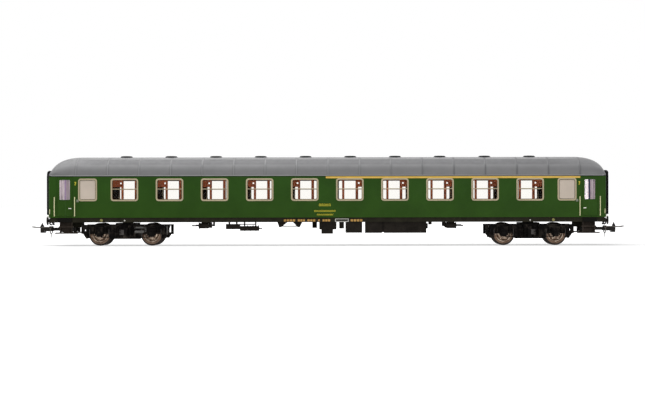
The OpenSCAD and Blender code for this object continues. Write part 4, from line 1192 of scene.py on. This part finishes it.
def loop_wire():
    """The lifting loop as a bent wire, its bow under the head with a tail, and an eye at each side."""
    loop_low, loop_high = mm_box("coupler_loop_1")
    pivot_x, _, pivot_z = joint_place("loop_1_lift")
    r = 0.27
    y = loop_high[1] - r
    tip = loop_high[0] - r
    under = COUPLER_Z - 2.1
    # one side of the loop, from the pivot to the tip: back from the tip, share of y, and rise
    bends = ((2.6, 1, 0), (1.4, 0.97, 0.05), (0.4, 0.86, 0.22), (0, 0.66, 0.3))
    side = [(pivot_x, y, pivot_z)] + [(tip - back, y * share, pivot_z + rise) for back, share, rise in bends]
    loop = Shape()
    other_side = [(px, -py, pz) for px, py, pz in side]
    loop.tube(other_side + [(tip, 0, pivot_z + 0.3)] + side[::-1], r, 10)
    loop.tube([(pivot_x, -y, pivot_z), (pivot_x, -y, under + 0.5), (pivot_x, -y + 0.5, under),
               (pivot_x, 0, under), (pivot_x, y - 0.5, under), (pivot_x, y, under + 0.5),
               (pivot_x, y, pivot_z)], r, 10)
    tail = [(pivot_x, 0, under), (pivot_x, 0, under - 0.8), (pivot_x + 0.25, 0, loop_low[2] + 0.2)]
    loop.tube(tail, r * 0.8, 10)
    eye = [(0.4, -r), (0.68, -r), (0.68, r), (0.4, r)]
    for eye_y in (-y, y):
        loop.lathe(eye, (pivot_x, eye_y, pivot_z), (0, 1, 0), 24, closed=True)
    return loop


def head_fittings():
    """Slots on the coupling's face plate, ribs and a ledge over the shank, and the loop's pivot bosses."""
    head = Shape()
    face = mm_box("coupler_1")[1][0]
    boss_x = HALF_LEN + 1.0
    boss_z = joint_place("loop_1_lift")[2]
    for slot_y in (-1.7, 0, 1.7):
        head.box((face - 0.1, face + 0.12), about(slot_y, 0.35), (COUPLER_Z - 0.9, COUPLER_Z + 1.5))
    for x in (HALF_LEN + 2.2, HALF_LEN + 3.6):
        head.box(about(x, 0.2), (-2.7, 2.7), about(COUPLER_Z, 1.1))
    head.box((HALF_LEN - 5.0, HALF_LEN + 0.6), (-0.4, 0.4), (COUPLER_Z + 0.6, COUPLER_Z + 1.0))
    for boss_y in ((-3.0, -2.6), (2.6, 3.0)):
        head.bar(boss_x, boss_y, boss_z, 0.7, 16)
    return head


def coupling_details(n):
    """The loop and the head's fittings, drawn at end 1 and turned round for end 2."""
    loop = loop_wire()
    head = head_fittings()
    if n == 2:
        loop.turned()
        head.turned()
    piece = loop.object("coupling_wire_%d" % n, LOOP_STEEL, body="loop_%d" % n, slot="loop_steel")
    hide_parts("coupler_loop_%d" % n)
    head.object("coupling_fittings_%d" % n, BLACK, body="coupling_%d" % n, slot="coupler_black", bevel=0.05)


# ---- Underframe ----

def battery_doors():
    """Doors on the battery boxes, each with two hinges and a latch."""
    low, high = mm_box("battery_boxes")
    face = low[1]
    hinge_z = low[2] + 0.8
    doors = Shape()
    for x0, x1 in ((10.3, 18.1), (20.8, 28.8), (31.0, 36.3), (36.9, 42.2)):
        doors.box((x0, x1), (face - 0.12, face + 0.1), (low[2] + 0.7, high[2] - 1.9))
        for x in (x0 + 1.0, x1 - 1.0):
            doors.bar(about(x, 0.4), face - 0.12, hinge_z, 0.2, 8)
        doors.box(about((x0 + x1) / 2, 0.4), (face - 0.28, face), (high[2] - 2.7, high[2] - 2.2))
    doors.object("battery_doors", EQUIPMENT, "equipment_dark", bevel=0.05)


def pipes_and_bands():
    """Bands round the tanks, and pipes and brake rodding between the bogies, clear of their swing."""
    tank_low, tank_high = mm_box("air_reservoirs")
    tank_y = tank_high[1] - 1.4
    tank_z = tank_low[2] + 1.3
    band = [(1.25, -0.25), (1.42, -0.25), (1.42, 0.25), (1.25, 0.25)]
    bands = Shape()
    for x in (38.6, 41.6, 44.6):
        bands.lathe(band, (x, tank_y, tank_z), (1, 0, 0), 28, closed=True)
    bands.mirrored(OTHER_CORNERS)
    floor_z = 14.7
    pipe_y, pipe_z, pipe_half = 7.5, 13.9, 78
    for y in (-pipe_y, pipe_y):
        bands.bar((-pipe_half, pipe_half), y, pipe_z, 0.4, 10)
    for x in (-70, -35, 0, 35, 70):
        bands.box(about(x, 0.3), (-8.2, 8.2), (pipe_z, floor_z))
    rod_z, rod_half = 13.2, 72
    bands.bar((-rod_half, rod_half), 0, rod_z, 0.35, 10)
    for x in (-60, -22, 22, 60):
        bands.box(about(x, 0.25), (-0.25, 0.25), (rod_z, floor_z))
    bands.object("pipes_and_bands", EQUIPMENT, "equipment_dark")


def step_ridges():
    """Crosswise ridges on the lowest step under each door."""
    ridges = Shape()
    x0, x1 = DOOR_X - 6.3, DOOR_X + 4.9
    count = 14
    for k in range(count):
        x = x0 + (x1 - x0) * (k + 0.5) / count
        ridges.box(about(x, 0.14), (HALF_W - 2.4, HALF_W + 0.02), (steps_low[2] + 0.5, steps_low[2] + 0.72))
    ridges.object("step_ridges", BOGIE_BLACK, "bogie_black", OTHER_CORNERS)


# ---- Stage ----

CAMERA_AT = Vector((0.0214, -1.0662, 0.02374))
CAMERA_ROLL = math.radians(-0.09)
SENSOR_MM = 36.0
LENS_MM = 109.0
CAMERA_SHIFT = -0.0692
FLOOR_HALF_M = 6.0
FLOOR_GREY = (0.6, 0.6, 0.6, 1)
COACH_HALF_LEN_M = 0.17
COACH_HALF_W_M = 0.03
SHADOW_REACH_M = 0.12
WORLD_STRENGTH = 0.24


def camera():
    """A long lens that looks along Y, turned a little about its own line of sight."""
    data = bpy.data.cameras.new("camera")
    data.sensor_width = SENSOR_MM
    data.lens = LENS_MM
    data.shift_x = CAMERA_SHIFT
    data.clip_start = 0.01
    data.clip_end = 50
    level = Matrix.Rotation(math.radians(90), 3, "X")
    rig = bpy.data.objects.new("camera", data)
    rig.location = CAMERA_AT
    rig.rotation_euler = (level @ Matrix.Rotation(CAMERA_ROLL, 3, "Z")).to_euler()
    bpy.context.scene.collection.objects.link(rig)
    bpy.context.scene.camera = rig


def seen(tree):
    """1 for rays that the camera, a glossy surface or glass sees the backdrop by."""
    path = tree.nodes.new("ShaderNodeLightPath")
    last = path.outputs["Is Camera Ray"]
    for name in ("Is Transmission Ray", "Is Glossy Ray"):
        either = tree.nodes.new("ShaderNodeMath")
        either.operation = "MAXIMUM"
        tree.links.new(last, either.inputs[0])
        tree.links.new(path.outputs[name], either.inputs[1])
        last = either.outputs[0]
    return last


def floor_white():
    """White that shows the coach's shadow near it and glows into the white backdrop away from it."""
    look = Surface("floor_white", 0.8)
    away_x = look.math("SUBTRACT", look.from_middle("X"), COACH_HALF_LEN_M)
    away_y = look.math("SUBTRACT", look.from_middle("Y"), COACH_HALF_W_M)
    level = look.ramp_value(look.math("MAXIMUM", away_x, away_y), 0.0, SHADOW_REACH_M, 0.5, 1.0)
    glow = look.node("Emission", {"Strength": look.times(level, seen(look.tree))})
    diffuse = look.node("BsdfDiffuse", {"Color": FLOOR_GREY})
    look.show(look.node("AddShader", {0: diffuse, 1: glow}))
    return look.material


def floor():
    mesh = bpy.data.meshes.new("floor")
    half = FLOOR_HALF_M
    corners = [(-half, -half, 0), (half, -half, 0), (half, half, 0), (-half, half, 0)]
    mesh.from_pydata(corners, [], [(0, 1, 2, 3)])
    plane = bpy.data.objects.new("floor", mesh)
    bpy.context.scene.collection.objects.link(plane)
    mesh.materials.append(floor_white())


def world():
    """White where it is seen, and dimmer as a light on the coach."""
    made = bpy.data.worlds.new("studio")
    bpy.context.scene.world = made
    made.use_nodes = True
    tree = made.node_tree
    background = tree.nodes["Background"]
    background.inputs["Color"].default_value = (1, 1, 1, 1)
    level = tree.nodes.new("ShaderNodeMapRange")
    level.inputs["To Min"].default_value = WORLD_STRENGTH
    level.inputs["To Max"].default_value = 1.0
    tree.links.new(seen(tree), level.inputs["Value"])
    tree.links.new(level.outputs["Result"], background.inputs["Strength"])


def lamp(name, at, aim, size, power):
    """A rectangular lamp at a place, facing another. Places and sizes are in metres."""
    data = bpy.data.lights.new(name, "AREA")
    data.shape = "RECTANGLE"
    data.size, data.size_y = size
    data.energy = power
    lit = bpy.data.objects.new(name, data)
    lit.location = at
    lit.rotation_euler = (Vector(aim) - Vector(at)).to_track_quat("-Z", "Y").to_euler()
    bpy.context.scene.collection.objects.link(lit)
    return lit


def lights():
    """A wide key from above, a weak fill from the front, and a faint strip inside the compartments."""
    coach = (0, 0, 0.02)
    lamp("key_above", at=(-0.25, 0.05, 0.9), aim=coach, size=(1.6, 0.8), power=10.5)
    lamp("fill_front", at=(0.4, -1.35, 0.3), aim=coach, size=(1.2, 0.5), power=5.4)
    inner = lamp("inside", at=(0, -0.0115, 0.0355), aim=(0, 0.006, 0.033), size=(0.29, 0.003), power=0.012)
    inner.visible_camera = False
    inner.visible_glossy = False
    inner.visible_transmission = False


roof_skin()
gutters()
vent_caps()
window_trims()
door_seals()
door_rims()
printed_marks()
solebar_dashes()
solebar_plate()
solebar_spots()
side_brackets()
corner_rails()
tail_lamps()
end_irons_and_hoses()
gangway_doors()
gangway_treads()
for axle_number in (1, 2, 3, 4):
    wheelset(axle_number)
for end in (1, 2):
    bogie_springs(end)
    bogie_fittings(end)
    bogie_pale_fittings(end)
    damper_bars(end)
    coupling_details(end)
battery_doors()
pipes_and_bands()
step_ridges()
camera()
floor()
world()
lights()

bpy.context.scene.view_settings.view_transform = "Standard"
